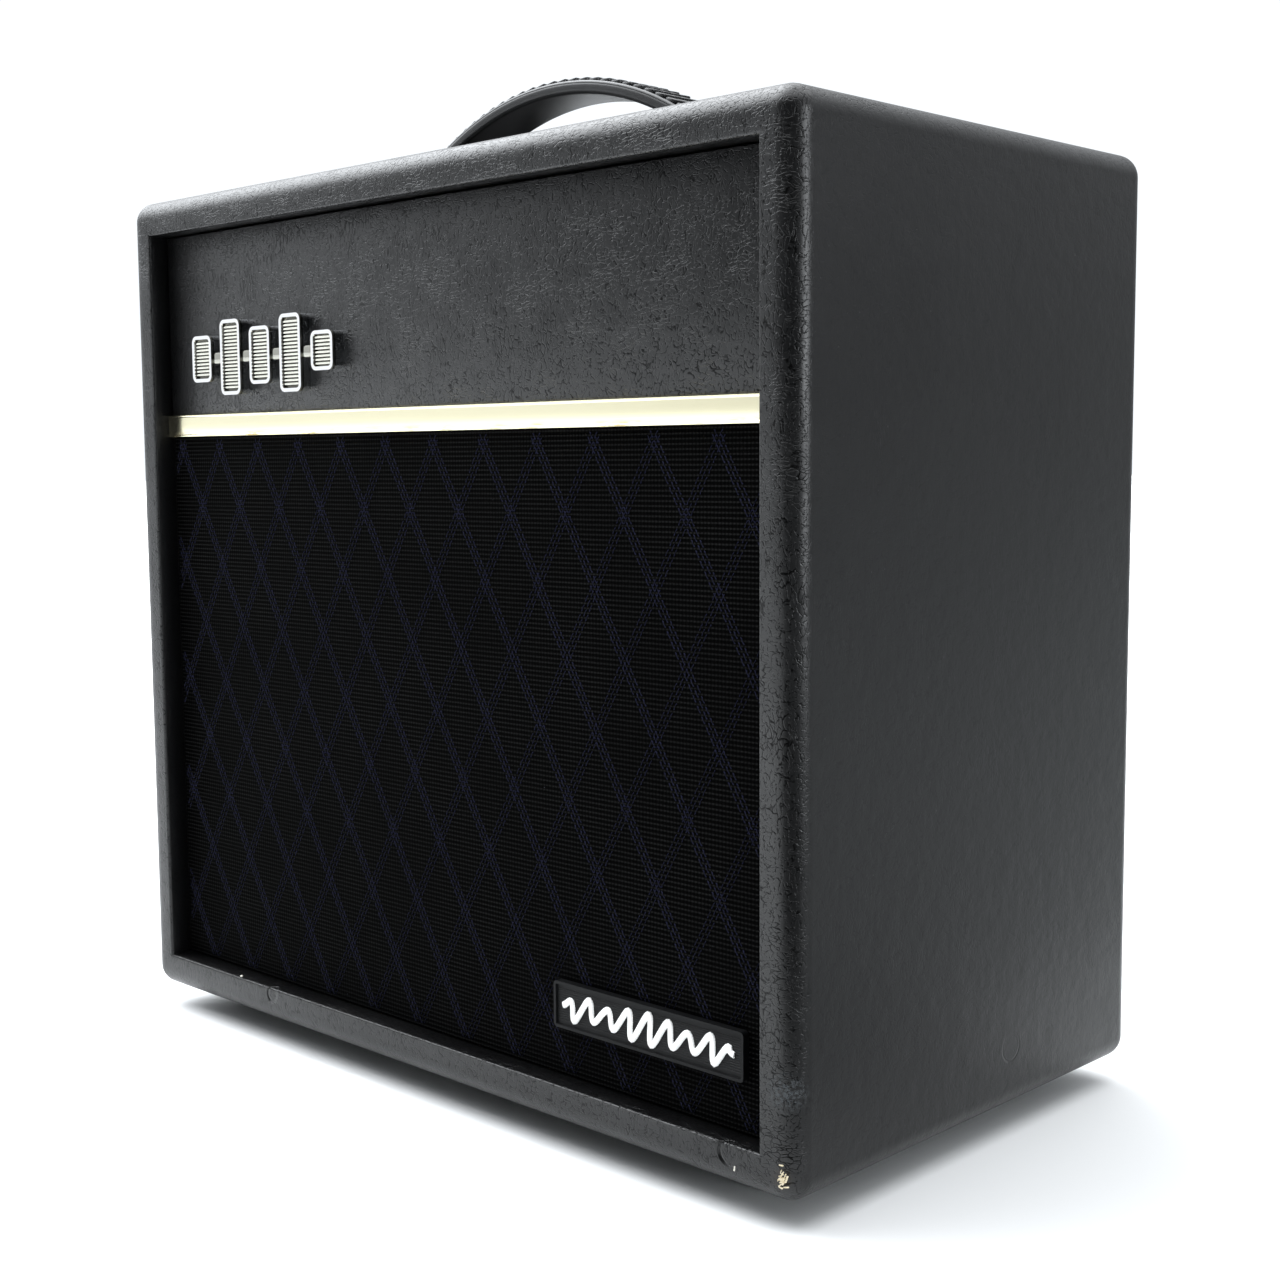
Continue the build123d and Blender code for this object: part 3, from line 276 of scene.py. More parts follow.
def make_vinyl(name, worn):
    """Embossed vinyl: calendered PVC pressed with a crinkled leather grain, satin, with painted shade in its
    creases.
    """
    material, tree, shader, place = new_material(name, colour("#070708"), 0.32, ior=1.5)
    warp = add(tree, "TexNoise", {"Vector": place, "Scale": per_mm(4.5), "Detail": 1.0}, out="Color")
    centred = add(tree, "VectorMath", {0: warp, 1: (0.5, 0.5, 0.5)}, operation="SUBTRACT")
    pushed = add(tree, "VectorMath", {0: centred, "Scale": 0.003}, operation="SCALE")
    bent = add(tree, "VectorMath", {0: place, 1: pushed}, operation="ADD")
    # thin creases a few millimetres long, upright in some patches and level in others
    tall = add(tree, "Mapping", {"Vector": bent, "Scale": (1.0, 1.0, 0.42)})
    wide = add(tree, "Mapping", {"Vector": bent, "Scale": (0.5, 0.5, 1.15)})
    tall_cells = add(tree, "TexVoronoi", {"Vector": tall, "Scale": per_mm(1.6)}, feature="DISTANCE_TO_EDGE")
    wide_cells = add(tree, "TexVoronoi", {"Vector": wide, "Scale": per_mm(1.5)}, feature="DISTANCE_TO_EDGE")
    patch = add(tree, "MapRange",
                {"Value": add(tree, "TexNoise", {"Vector": place, "Scale": per_mm(17.0)}), "From Min": 0.3,
                 "From Max": 0.7})
    cells = add(tree, "Mix", {0: patch, 2: tall_cells, 3: wide_cells}, data_type="FLOAT")
    width = add(tree, "MapRange",
                {"Value": add(tree, "TexNoise", {"Vector": place, "Scale": per_mm(3.0), "Roughness": 0.6}),
                 "From Min": 0.36, "From Max": 0.62, "To Min": 0.055, "To Max": 0.135})
    relief = add(tree, "Math", {0: add(tree, "Math", {0: cells, 1: width}, operation="DIVIDE"), 1: 1.0},
                 operation="MINIMUM")
    normal = add(tree, "NewGeometry", out="Normal")
    # the side panels were wrapped tight, so their creases are shallower
    facing = add(tree, "Math", {0: add(tree, "SeparateXYZ", {"Vector": normal}, out="X")},
                 operation="ABSOLUTE")
    sideways = add(tree, "MapRange",
                   {"Value": facing, "From Min": 0.8, "From Max": 0.98, "To Min": 1.0, "To Max": 0.3})
    depth = add(tree, "Math", {0: add(tree, "Math", {0: 1.0, 1: relief}, operation="SUBTRACT"), 1: sideways},
                operation="MULTIPLY")
    relief = add(tree, "Math", {0: 1.0, 1: depth}, operation="SUBTRACT")
    pebble = add(tree, "TexNoise", {"Vector": place, "Scale": per_mm(0.7), "Roughness": 0.55})
    swell = add(tree, "TexNoise", {"Vector": place, "Scale": per_mm(7.0)})
    fine = add(tree, "Bump", {"Height": pebble, "Distance": 0.04 * MM, "Strength": 0.4})
    deep = add(tree, "Bump", {"Height": relief, "Distance": 0.1 * MM, "Normal": fine})
    rolling = add(tree, "Bump", {"Height": swell, "Distance": 0.45 * MM, "Strength": 0.5, "Normal": deep})
    tree.links.new(rolling, shader.inputs["Normal"])
    patches = add(tree, "MapRange",
                  {"Value": add(tree, "TexNoise",
                                {"Vector": place, "Scale": per_mm(55.0), "Detail": 3.0, "Roughness": 0.6}),
                   "From Min": 0.35, "From Max": 0.75})
    gloss = add(tree, "MapRange", {"Value": patches, "To Min": 0.37, "To Max": 0.29})
    # painted shade: the creases' base colour is darker than the tops'
    base = add(tree, "Mix",
               {0: add(tree, "MapRange", {"Value": relief, "From Min": 0.1, "From Max": 0.8}),
                6: colour("#020202"), 7: colour("#070708")}, out=2, data_type="RGBA")
    # painted shade: a crease's reflection is tinted darker than the tops', as if little light got down into
    # it or out again
    tree.links.new(add(tree, "Mix",
                       {0: add(tree, "MapRange", {"Value": relief, "From Max": 0.9}), 6: colour("#222222"),
                        7: colour("#ffffff")}, out=2, data_type="RGBA"), shader.inputs["Specular Tint"])
    if worn:
        base, gloss = add_wear(tree, shader, place, rolling, base, gloss)
    tree.links.new(gloss, shader.inputs["Roughness"])
    tree.links.new(base, shader.inputs["Base Color"])
    return material


def make_cloth(foot, pitch):
    """Woven grille cloth: matt black cord ribs, with a painted highlight on their crests and painted shade in
    the valleys between them.
    """
    material, tree, shader, place = new_material("woven_grille_cloth", colour("#08080a"), 0.85, ior=1.4)
    shader.inputs["Specular IOR Level"].default_value = 0.04
    height = add(tree, "SeparateXYZ", {"Vector": place}, out="Z")
    ribs = add(tree, "Math",
               {0: add(tree, "Math", {0: height, 1: foot * MM}, operation="SUBTRACT"), 1: pitch * MM},
               operation="DIVIDE")
    crest = add(tree, "Math",
                {0: add(tree, "Math", {0: add(tree, "Math", {0: ribs}, operation="FRACT"), 1: math.pi},
                        operation="MULTIPLY")}, operation="SINE")
    # yarns cross each rib a little under a millimetre apart
    yarn = add(tree, "TexWave",
               {"Vector": place, "Scale": per_mm(0.8) * 0.1571, "Distortion": 1.2, "Detail": 2.0,
                "Detail Scale": 3.0}, out="Fac", wave_type="BANDS", bands_direction="X")
    fuzz = add(tree, "TexNoise", {"Vector": place, "Scale": per_mm(0.5)})
    # painted highlight: the rib crests are painted lighter along the yarns, the valleys stay black as painted
    # shade
    lit = add(tree, "Math",
              {0: add(tree, "MapRange", {"Value": crest, "From Min": 0.78, "From Max": 0.98}),
               1: add(tree, "MapRange", {"Value": yarn, "From Min": 0.2, "From Max": 0.8, "To Min": 0.25})},
              operation="MULTIPLY")
    # the painted highlight is weaker in broad patches
    worn = add(tree, "MapRange",
               {"Value": add(tree, "TexNoise",
                             {"Vector": place, "Scale": per_mm(40.0), "Detail": 3.0, "Roughness": 0.6}),
                "From Min": 0.35, "From Max": 0.7, "To Min": 0.65})
    tint = add(tree, "Mix",
               {0: add(tree, "Math", {0: lit, 1: worn}, operation="MULTIPLY"), 6: colour("#000000"),
                7: colour("#1b1b1b")}, out=2, data_type="RGBA")
    lint = add(tree, "MapRange",
               {"Value": add(tree, "TexNoise",
                             {"Vector": place, "Scale": per_mm(1.1), "Detail": 3.0, "Roughness": 0.6}),
                "From Min": 0.765, "From Max": 0.8})
    tree.links.new(add(tree, "Mix",
                       {0: add(tree, "Math", {0: lint, 1: 0.5}, operation="MULTIPLY"), 6: tint,
                        7: colour("#70707a")}, out=2, data_type="RGBA"), shader.inputs["Base Color"])
    tree.links.new(add(tree, "Bump",
                       {"Height": add(tree, "Math", {0: yarn, 1: fuzz}, operation="ADD"),
                        "Distance": 0.12 * MM, "Strength": 0.8}), shader.inputs["Normal"])
    return material


def make_thread():
    """Dark blue rayon warp floats: brighter than the ground because they lie flat and catch the light."""
    material, tree, shader, place = new_material("blue_rayon_thread", colour("#23233a"), 0.55, ior=1.4)
    shader.inputs["Specular IOR Level"].default_value = 0.07
    shade = add(tree, "TexNoise", {"Vector": place, "Scale": per_mm(1.5)})
    tree.links.new(add(tree, "Mix", {0: shade, 6: colour("#12131f"), 7: colour("#232439")}, out=2,
                       data_type="RGBA"), shader.inputs["Base Color"])
    tree.links.new(add(tree, "Bump",
                       {"Height": add(tree, "TexNoise",
                                      {"Vector": place, "Scale": per_mm(0.25), "Detail": 1.0}),
                        "Distance": 0.03 * MM, "Strength": 0.6}), shader.inputs["Normal"])
    return material


def make_gold():
    """Gold-anodised aluminium strip: mirror-like pale gold with a dull patina along its lower edge."""
    material, tree, shader, place = new_material("gold_anodised_strip", colour("#fbf3cf"), 0.2, metallic=1.0)
    drawn = add(tree, "Mapping", {"Vector": place, "Scale": (0.04, 1.0, 1.0)})
    lines = add(tree, "TexNoise", {"Vector": drawn, "Scale": per_mm(0.5), "Detail": 3.0, "Roughness": 0.6})
    height = add(tree, "SeparateXYZ", {"Vector": place}, out="Z")
    foot = low("trim_strip").z
    low_edge = add(tree, "MapRange",
                   {"Value": height, "From Min": (foot + 0.8) * MM, "From Max": (foot + 2.6) * MM,
                    "To Min": 1.0, "To Max": 0.0})
    smear = add(tree, "Mapping", {"Vector": place, "Scale": (0.25, 1.0, 1.0)})
    spots = add(tree, "MapRange",
                {"Value": add(tree, "TexNoise",
                              {"Vector": smear, "Scale": per_mm(5.0), "Detail": 4.0, "Roughness": 0.65}),
                 "From Min": 0.5, "From Max": 0.68})
    spots = add(tree, "Math", {0: spots, 1: low_edge}, operation="MULTIPLY")
    tree.links.new(add(tree, "MapRange", {"Value": spots, "To Min": 0.16, "To Max": 0.34}),
                   shader.inputs["Roughness"])
    tree.links.new(add(tree, "Mix", {0: spots, 6: colour("#fdf6d4"), 7: colour("#b39c64")}, out=2,
                       data_type="RGBA"), shader.inputs["Base Color"])
    tree.links.new(add(tree, "Bump", {"Height": lines, "Distance": 0.01 * MM, "Strength": 0.3}),
                   shader.inputs["Normal"])
    return material


def make_chrome():
    """Chrome-plated die casting: mirror finish, with a painted highlight on the rims and painted shade down
    in the recesses.
    """
    material, tree, shader, place = new_material("chrome_plate", colour("#d6d6d2"), 0.1, metallic=1.0)
    depth = add(tree, "SeparateXYZ", {"Vector": place}, out="Y")
    front = low("badge").y
    below_rim = add(tree, "MapRange",
                    {"Value": depth, "From Min": (front + 0.15) * MM, "From Max": (front + 0.45) * MM})
    sunk = add(tree, "MapRange",
               {"Value": depth, "From Min": (front + 0.75) * MM, "From Max": (front + 1.1) * MM})
    side_wall = add(tree, "MapRange",
                    {"Value": depth, "From Min": (front + 1.4) * MM, "From Max": (front + 1.8) * MM})
    # painted highlight and shade by depth: near white on the rims, darker below them, dark on the recess
    # floors, lighter on the deep side walls
    tone = add(tree, "Mix", {0: below_rim, 6: colour("#ffffff"), 7: colour("#cdccc2")}, out=2,
               data_type="RGBA")
    tone = add(tree, "Mix", {0: sunk, 6: tone, 7: colour("#5d5c55")}, out=2, data_type="RGBA")
    tone = add(tree, "Mix", {0: side_wall, 6: tone, 7: colour("#c4c6c8")}, out=2, data_type="RGBA")
    tree.links.new(tone, shader.inputs["Base Color"])
    tree.links.new(add(tree, "MapRange",
                       {"Value": add(tree, "TexNoise",
                                     {"Vector": place, "Scale": per_mm(7.0), "Detail": 3.0,
                                      "Roughness": 0.6}), "From Min": 0.3, "From Max": 0.8, "To Min": 0.06,
                        "To Max": 0.14}), shader.inputs["Roughness"])
    tree.links.new(add(tree, "Bump",
                       {"Height": add(tree, "TexNoise", {"Vector": place, "Scale": per_mm(2.5)}),
                        "Distance": 0.02 * MM, "Strength": 0.4}), shader.inputs["Normal"])
    return material


def make_plastic(name, hex_value, roughness, grain_mm=0.35, grain_depth=0.01, second=None, shine=0.5):
    """Moulded thermoplastic with its spark-eroded mould texture and slightly uneven gloss."""
    material, tree, shader, place = new_material(name, colour(hex_value), roughness, ior=1.5)
    shader.inputs["Specular IOR Level"].default_value = shine
    shift = add(tree, "TexNoise", {"Vector": place, "Scale": per_mm(12.0), "Detail": 3.0, "Roughness": 0.6})
    tree.links.new(add(tree, "MapRange",
                       {"Value": shift, "From Min": 0.3, "From Max": 0.75, "To Min": roughness - 0.05,
                        "To Max": roughness + 0.06}), shader.inputs["Roughness"])
    tree.links.new(add(tree, "Mix", {0: shift, 6: colour(hex_value), 7: colour(second or hex_value)}, out=2,
                       data_type="RGBA"), shader.inputs["Base Color"])
    tree.links.new(add(tree, "Bump",
                       {"Height": add(tree, "TexNoise",
                                      {"Vector": place, "Scale": per_mm(grain_mm), "Roughness": 0.6}),
                        "Distance": grain_depth * MM, "Strength": 0.5}), shader.inputs["Normal"])
    return material


def make_rubber(name, hex_value="#141415", roughness=0.6):
    """Moulded rubber: matt, with a faint bloom and a fine pitted surface."""
    material, tree, shader, place = new_material(name, colour(hex_value), roughness, ior=1.52)
    bloom = add(tree, "MapRange",
                {"Value": add(tree, "TexNoise",
                              {"Vector": place, "Scale": per_mm(8.0), "Detail": 4.0, "Roughness": 0.65}),
                 "From Min": 0.4, "From Max": 0.75})
    tree.links.new(add(tree, "Mix", {0: bloom, 6: colour(hex_value), 7: colour("#202021")}, out=2,
                       data_type="RGBA"), shader.inputs["Base Color"])
    tree.links.new(add(tree, "Bump",
                       {"Height": add(tree, "TexNoise",
                                      {"Vector": place, "Scale": per_mm(0.4), "Detail": 3.0,
                                       "Roughness": 0.65}), "Distance": 0.03 * MM, "Strength": 0.5}),
                   shader.inputs["Normal"])
    return material


def make_metal(name, hex_value, roughness, grain=(1.0, 1.0, 1.0)):
    """Plated or bare metal with a directional grain."""
    material, tree, shader, place = new_material(name, colour(hex_value), roughness, metallic=1.0)
    stretched = add(tree, "Mapping", {"Vector": place, "Scale": grain})
    grain_value = add(tree, "TexNoise",
                      {"Vector": stretched, "Scale": per_mm(0.4), "Detail": 3.0, "Roughness": 0.6})
    tree.links.new(add(tree, "MapRange",
                       {"Value": grain_value, "From Min": 0.3, "From Max": 0.7, "To Min": roughness - 0.06,
                        "To Max": roughness + 0.08}), shader.inputs["Roughness"])
    tree.links.new(add(tree, "Bump", {"Height": grain_value, "Distance": 0.008 * MM, "Strength": 0.5}),
                   shader.inputs["Normal"])
    return material


def make_coat(name, hex_value="#101011", roughness=0.48):
    """Powder coat: hard paint with an orange-peel surface."""
    material, tree, shader, place = new_material(name, colour(hex_value), roughness, ior=1.5)
    peel = add(tree, "TexNoise", {"Vector": place, "Scale": per_mm(0.7)})
    dust = add(tree, "MapRange",
               {"Value": add(tree, "TexNoise",
                             {"Vector": place, "Scale": per_mm(18.0), "Detail": 4.0, "Roughness": 0.6}),
                "From Min": 0.45, "From Max": 0.8})
    tree.links.new(add(tree, "Mix", {0: dust, 6: colour(hex_value), 7: colour("#1b1b1c")}, out=2,
                       data_type="RGBA"), shader.inputs["Base Color"])
    tree.links.new(add(tree, "Bump", {"Height": peel, "Distance": 0.03 * MM, "Strength": 0.6}),
                   shader.inputs["Normal"])
    return material


def make_wood(name, pale, dark, fibre_mm):
    """Sawn board: short fibres along the length, darker flecks."""
    material, tree, shader, place = new_material(name, colour(pale), 0.75, ior=1.5)
    fibres = add(tree, "Mapping", {"Vector": place, "Scale": (0.2, 1.0, 1.0)})
    fleck = add(tree, "TexNoise",
                {"Vector": fibres, "Scale": per_mm(fibre_mm), "Detail": 4.0, "Roughness": 0.65})
    tree.links.new(add(tree, "Mix",
                       {0: add(tree, "MapRange", {"Value": fleck, "From Min": 0.3, "From Max": 0.7}),
                        6: colour(dark), 7: colour(pale)}, out=2, data_type="RGBA"),
                   shader.inputs["Base Color"])
    tree.links.new(add(tree, "Bump", {"Height": fleck, "Distance": 0.12 * MM, "Strength": 0.6}),
                   shader.inputs["Normal"])
    return material


def make_weave(name, hex_value, second, pitch_mm=0.7):
    """Treated cloth or pressed paper: fine crossed texture."""
    material, tree, shader, place = new_material(name, colour(hex_value), 0.85, ior=1.5)
    pulp = add(tree, "TexNoise",
               {"Vector": place, "Scale": per_mm(pitch_mm), "Detail": 4.0, "Roughness": 0.7})
    tree.links.new(add(tree, "Mix", {0: pulp, 6: colour(hex_value), 7: colour(second)}, out=2,
                       data_type="RGBA"), shader.inputs["Base Color"])
    tree.links.new(add(tree, "Bump", {"Height": pulp, "Distance": 0.08 * MM, "Strength": 0.6}),
                   shader.inputs["Normal"])
    return material


def make_glass():
    """Clear soda-lime glass of a small valve."""
    material, tree, shader, place = new_material("valve_glass", colour("#e8edec"), 0.04, ior=1.52)
    shader.inputs["Transmission Weight"].default_value = 0.9
    tree.links.new(add(tree, "MapRange",
                       {"Value": add(tree, "TexNoise", {"Vector": place, "Scale": per_mm(6.0)}),
                        "From Min": 0.3, "From Max": 0.7, "To Min": 0.02, "To Max": 0.08}),
                   shader.inputs["Roughness"])
    return material


VINYL = make_vinyl("embossed_vinyl", False)
WORN_VINYL = make_vinyl("embossed_vinyl_worn", True)
CLOTH_FOOT, CLOTH_TOP = low("grille_cloth").z, high("grille_cloth").z
RIBS = round((CLOTH_TOP - CLOTH_FOOT) / RIB_PITCH)
CLOTH = make_cloth(CLOTH_FOOT, (CLOTH_TOP - CLOTH_FOOT) / RIBS)
THREAD = make_thread()
GOLD = make_gold()
CHROME = make_chrome()
BLACK_COAT = make_coat("powder_coated_steel")
ENAMEL = make_coat("black_enamel_panel", "#0d0d0e", 0.38)
BLACK_PLASTIC = make_plastic("moulded_abs_black", "#101011", 0.32, second="#161617")
NAMEPLATE_PLASTIC = make_plastic("moulded_abs_charcoal", "#08090a", 0.5, second="#0c0d0e", shine=0.16)
WHITE_PAINT = make_plastic("white_enamel_print", "#ffffff", 0.3, second="#fafaf6")
BUTTON_PLASTIC = make_plastic("moulded_abs_grey", "#b9b9b5", 0.35, second="#adada8")
LED_PLASTIC = make_plastic("red_led_lens", "#7a0d0a", 0.15, second="#8c1510")
STRAP_RUBBER = make_rubber("moulded_strap_rubber", "#0e0f10", 0.34)
FOOT_RUBBER = make_rubber("foot_rubber", "#101011", 0.7)
ZINC = make_metal("zinc_plated_steel", "#c2c4c6", 0.34)
BLACK_OXIDE = make_metal("black_oxide_screw", "#2a2a2c", 0.42)
ALUMINIUM = make_metal("bare_aluminium", "#d2d4d6", 0.36, (0.1, 1.0, 1.0))
CORE_STEEL = make_metal("laminated_core_steel", "#77757a", 0.5, (1.0, 0.1, 1.0))
NICKEL = make_metal("nickel_plate", "#cfccc2", 0.18)
BOARD_WOOD = make_wood("sawn_fibreboard", "#b3905f", "#8d6c42", 1.4)
STRIP_WOOD = make_wood("sawn_pine", "#cba873", "#a5804d", 2.2)
SPLINTER_WOOD = make_wood("torn_board_fibre", "#efe6cf", "#c9b892", 0.8)
CONE_PAPER = make_weave("pressed_cone_paper", "#171717", "#222222", 0.9)
SPIDER_CLOTH = make_weave("treated_spider_cloth", "#b08d4a", "#8c6c34", 0.7)
SURROUND_CLOTH = make_weave("doped_surround_cloth", "#101010", "#1a1a1a", 0.6)
FERRITE = make_weave("ground_ferrite", "#2b2b2e", "#3a3a3d", 0.5)
CERAMIC = make_weave("socket_ceramic", "#d9d4c6", "#cbc5b5", 0.4)
SOLDER_MASK = make_plastic("green_solder_mask", "#11442a", 0.35, second="#0d3a22")
SLEEVE = make_plastic("capacitor_sleeve", "#14143a", 0.3, second="#1b1b46")
COIL_WIRE = make_metal("enamelled_copper_wire", "#a5622f", 0.35)
GLASS = make_glass()

NODE_MATERIALS = {
    "vinyl_covering": VINYL, "front_panel": VINYL, "rear_board": VINYL, "grille_cloth": CLOTH,
    "trim_strip": GOLD, "badge": CHROME, "nameplate": NAMEPLATE_PLASTIC, "rear_screws": BLACK_OXIDE,
    "plated_screws": ZINC, "feet": FOOT_RUBBER, "handle_strap": STRAP_RUBBER,
    "handle_caps": BLACK_PLASTIC, "speaker_basket": BLACK_COAT, "speaker_magnet": FERRITE,
    "speaker_yoke": ZINC, "speaker_surround": SURROUND_CLOTH, "speaker_spider": SPIDER_CLOTH,
    "speaker_lead": BLACK_PLASTIC, "control_panel": ENAMEL, "chassis_tray": BLACK_COAT,
    "chassis_rear_plate": BLACK_COAT, "main_board": SOLDER_MASK, "capacitors": SLEEVE,
    "power_transformer": CORE_STEEL, "heatsink": ALUMINIUM, "valve_socket": CERAMIC, "valve": GLASS,
    "pot_bodies": ZINC, "bushing_nuts": NICKEL, "jack_sockets": BLACK_PLASTIC,
    "power_inlet": BLACK_PLASTIC, "inlet_pins": NICKEL, "switch_bodies": BLACK_PLASTIC,
    "indicator_leds": LED_PLASTIC, "speaker_cone": CONE_PAPER, "dust_cap": CONE_PAPER,
    "voice_coil": COIL_WIRE, "power_rocker": BLACK_PLASTIC, "channel_button": BUTTON_PLASTIC,
    "tap_button": BUTTON_PLASTIC, "mounting_strips": STRIP_WOOD,
}
for name, node in NODES.items():
    # the nodes that the table leaves out are spindles, knobs and wooden boards
    kind = name.rsplit("_", 1)[-1]
    other = {"spindle": ALUMINIUM, "knob": BLACK_PLASTIC}.get(kind, BOARD_WOOD)
    material = NODE_MATERIALS.get(name, other)
    node.data.materials.clear()
    node.data.materials.append(material)


# ---------------------------------------------------------------- cabinet covering
def opening_in(bm, face, lower, upper, corner=0.0, segments=6):
    """Insets a face to a rectangle between two corners and returns the inner face, corners rounded."""
    bmesh.ops.inset_region(bm, faces=[face], thickness=5.0, use_even_offset=True)
    middle = face.calc_center_median()
    for vert in face.verts:
        for axis in range(3):
            if lower[axis] != upper[axis]:
                vert.co[axis] = lower[axis] if vert.co[axis] < middle[axis] else upper[axis]
    if corner:
        made = bmesh.ops.bevel(bm, geom=list(face.verts), offset=corner, segments=segments, profile=0.5,
                               affect="VERTICES", material=-1)
        face = max(made["faces"] + [f for v in made["verts"] for f in v.link_faces],
                   key=lambda f: len(f.verts))
    return face


def sink(bm, face, move):
    """Extrudes a face inwards and removes it, leaving the wall round the hole. Returns the mouth's edges."""
    mouth = list(face.edges)
    cap = extrude_face(bm, face, move)[1]
    bmesh.ops.delete(bm, geom=cap, context="FACES")
    if face.is_valid:
        bmesh.ops.delete(bm, geom=[face], context="FACES_ONLY")
    return [e for e in mouth if e.is_valid]


def make_covering():
    lower, upper = low("vinyl_covering"), high("vinyl_covering")
    panel = low("baffle_board"), high("baffle_board")
    (left, front_of_well), (right, back_of_well) = WELL
    bm = bmesh.new()
    box_into(bm, lower, upper, EDGE_ROUND, 10)

    def big(axis, sign):
        return max((f for f in bm.faces if f.normal[axis] * sign > 0.999), key=lambda f: f.calc_area())

    side = panel[1].x + 0.5
    bottom, top = panel[0].z - 0.5, panel[1].z + 0.5
    front = opening_in(bm, big(1, -1), (-side, lower.y, bottom), (side, lower.y, top))
    mouths = sink(bm, front, (0, LINING_DEPTH, 0))
    rear = opening_in(bm, big(1, 1), (-side, upper.y, bottom), (side, upper.y, top))
    mouths += sink(bm, rear, (0, -(upper.y - low("rear_board").y), 0))
    roof = opening_in(bm, big(2, 1), (left, front_of_well, upper.z), (right, back_of_well, upper.z),
                      WELL_CORNER)
    mouths += sink(bm, roof, (0, 0, -(upper.z - high("control_panel").z)))
    bmesh.ops.bevel(bm, geom=mouths, offset=MOUTH_ROUND, segments=3, profile=0.5, affect="EDGES", material=-1)
    bmesh.ops.recalc_face_normals(bm, faces=bm.faces)
    piece = finish_mesh(bm, "covering", "cabinet", WORN_VINYL, 35, ["vinyl_covering"])
    wall = piece.modifiers.new("thickness", "SOLIDIFY")
    wall.thickness, wall.offset = SKIN * MM, -1.0


make_covering()


def make_covered_board(name, node, round_mm):
    """A board wrapped in vinyl, its edges soft."""
    bm = bmesh.new()
    box_into(bm, low(node), high(node), round_mm, 3)
    finish_mesh(bm, name, "cabinet", VINYL, 40, [node])


make_covered_board("emblem_panel", "front_panel", 0.7)
make_covered_board("back_board", "rear_board", 1.4)


# ---------------------------------------------------------------- grille cloth
def make_grille():
    lower, upper = low("grille_cloth"), high("grille_cloth")
    pitch = (upper.z - lower.z) / RIBS
    ground = lower.y + RIB_RISE + THREAD_ROOM
    bm = bmesh.new()
    start = [bm.verts.new((lower.x, upper.y, lower.z)), bm.verts.new((lower.x, ground, lower.z))]
    for rib in range(RIBS):
        for step in range(1, RIB_STEPS + 1):
            rise = RIB_RISE * math.sin(math.pi * step / RIB_STEPS)
            start.append(bm.verts.new((lower.x, ground - rise, lower.z + pitch * (rib + step / RIB_STEPS))))
    start.append(bm.verts.new((lower.x, upper.y, upper.z)))
    extrude_face(bm, bm.faces.new(start), (upper.x - lower.x, 0, 0))
    bmesh.ops.recalc_face_normals(bm, faces=bm.faces)
    bmesh.ops.triangulate(bm, faces=[f for f in bm.faces if len(f.verts) > 4])
    cloth = finish_mesh(bm, "grille", "cabinet", CLOTH, 60, ["grille_cloth"])


def stitch_into(bm, x, z, half, tall, skew, foot_y, top_y):
    """Adds one raised stitch: a leaning hexagon with a ridge along its middle."""
    base = [bm.verts.new((x + a * half + b * tall * skew, foot_y, z + b * tall))
            for a, b in ((-1, -0.75), (0, -1), (1, -0.75), (1, 0.75), (0, 1), (-1, 0.75))]
    crown = [bm.verts.new((x + b * tall * skew, top_y, z + b * tall)) for b in (-0.55, 0.55)]
    for corners in ((base[0], base[1], crown[0]), (base[1], base[2], crown[0]),
                    (base[2], base[3], crown[1], crown[0]), (base[3], base[4], crown[1]),
                    (base[4], base[5], crown[1]), (base[5], base[0], crown[0], crown[1])):
        bm.faces.new(corners)


def make_threads():
    """Embroidered diagonals: three threads side by side, each a row of raised stitches two ribs long."""
    lower, upper = low("grille_cloth"), high("grille_cloth")
    foot_y, top_y = lower.y + RIB_RISE + THREAD_ROOM - 0.1, lower.y + 0.02
    rise = 2 * (upper.z - lower.z) / RIBS
    slope = DIAMOND[0] / DIAMOND[1]
    bm = bmesh.new()
    rows = math.ceil((upper.z - lower.z) / rise) + 1
    lines = math.ceil((upper.x - lower.x + slope * (upper.z - lower.z)) / DIAMOND[0]) + 2
    shape = random.Random(4)
    places = itertools.product(STITCH_WIDTHS.items(), range(-lines, lines), (-1, 0, 1), range(-rows, rows))
    for (lean, width), line, strand, row in places:
        up = (row + 0.5 * (strand % 2)) * rise
        z = DIAMOND_CENTRE[1] + up
        x = DIAMOND_CENTRE[0] + line * DIAMOND[0] + lean * up * slope + strand * THREAD_GAP
        if lower.z + rise / 2 < z < upper.z - rise / 2 and lower.x + 2 < x < upper.x - 2:
            tall = rise * shape.uniform(0.40, 0.47)
            half = width * shape.uniform(0.85, 1.1) / 2
            x += shape.uniform(-0.12, 0.12)
            stitch_into(bm, x, z, half, tall, lean * slope, foot_y, top_y)
    bmesh.ops.recalc_face_normals(bm, faces=bm.faces)
    finish_mesh(bm, "grille_threads", "cabinet", THREAD, 80)


make_grille()
make_threads()


# ---------------------------------------------------------------- trim strip
def make_trim():
    lower, upper = low("trim_strip"), high("trim_strip")
    height = upper.z - lower.z
    bm = bmesh.new()
    lip, valley = 0.8, 0.35
    outline = [(upper.y, 0.0), (lower.y + 0.7, 0.0), (lower.y + 0.1, 0.2), (lower.y, 0.45),
               (lower.y + 0.1, lip), (lower.y + valley, lip + 0.3), (lower.y + valley - 0.08, height * 0.3),
               (lower.y + valley - 0.12, height * 0.5)]
    mirrored = [(y, height - z) for y, z in reversed(outline[:-1])]
    verts = [bm.verts.new((lower.x, y, lower.z + z)) for y, z in outline + mirrored]
    extrude_face(bm, bm.faces.new(verts), (upper.x - lower.x, 0, 0))
    bmesh.ops.recalc_face_normals(bm, faces=bm.faces)
    finish_mesh(bm, "gold_strip", "cabinet", GOLD, 40, ["trim_strip"])


make_trim()


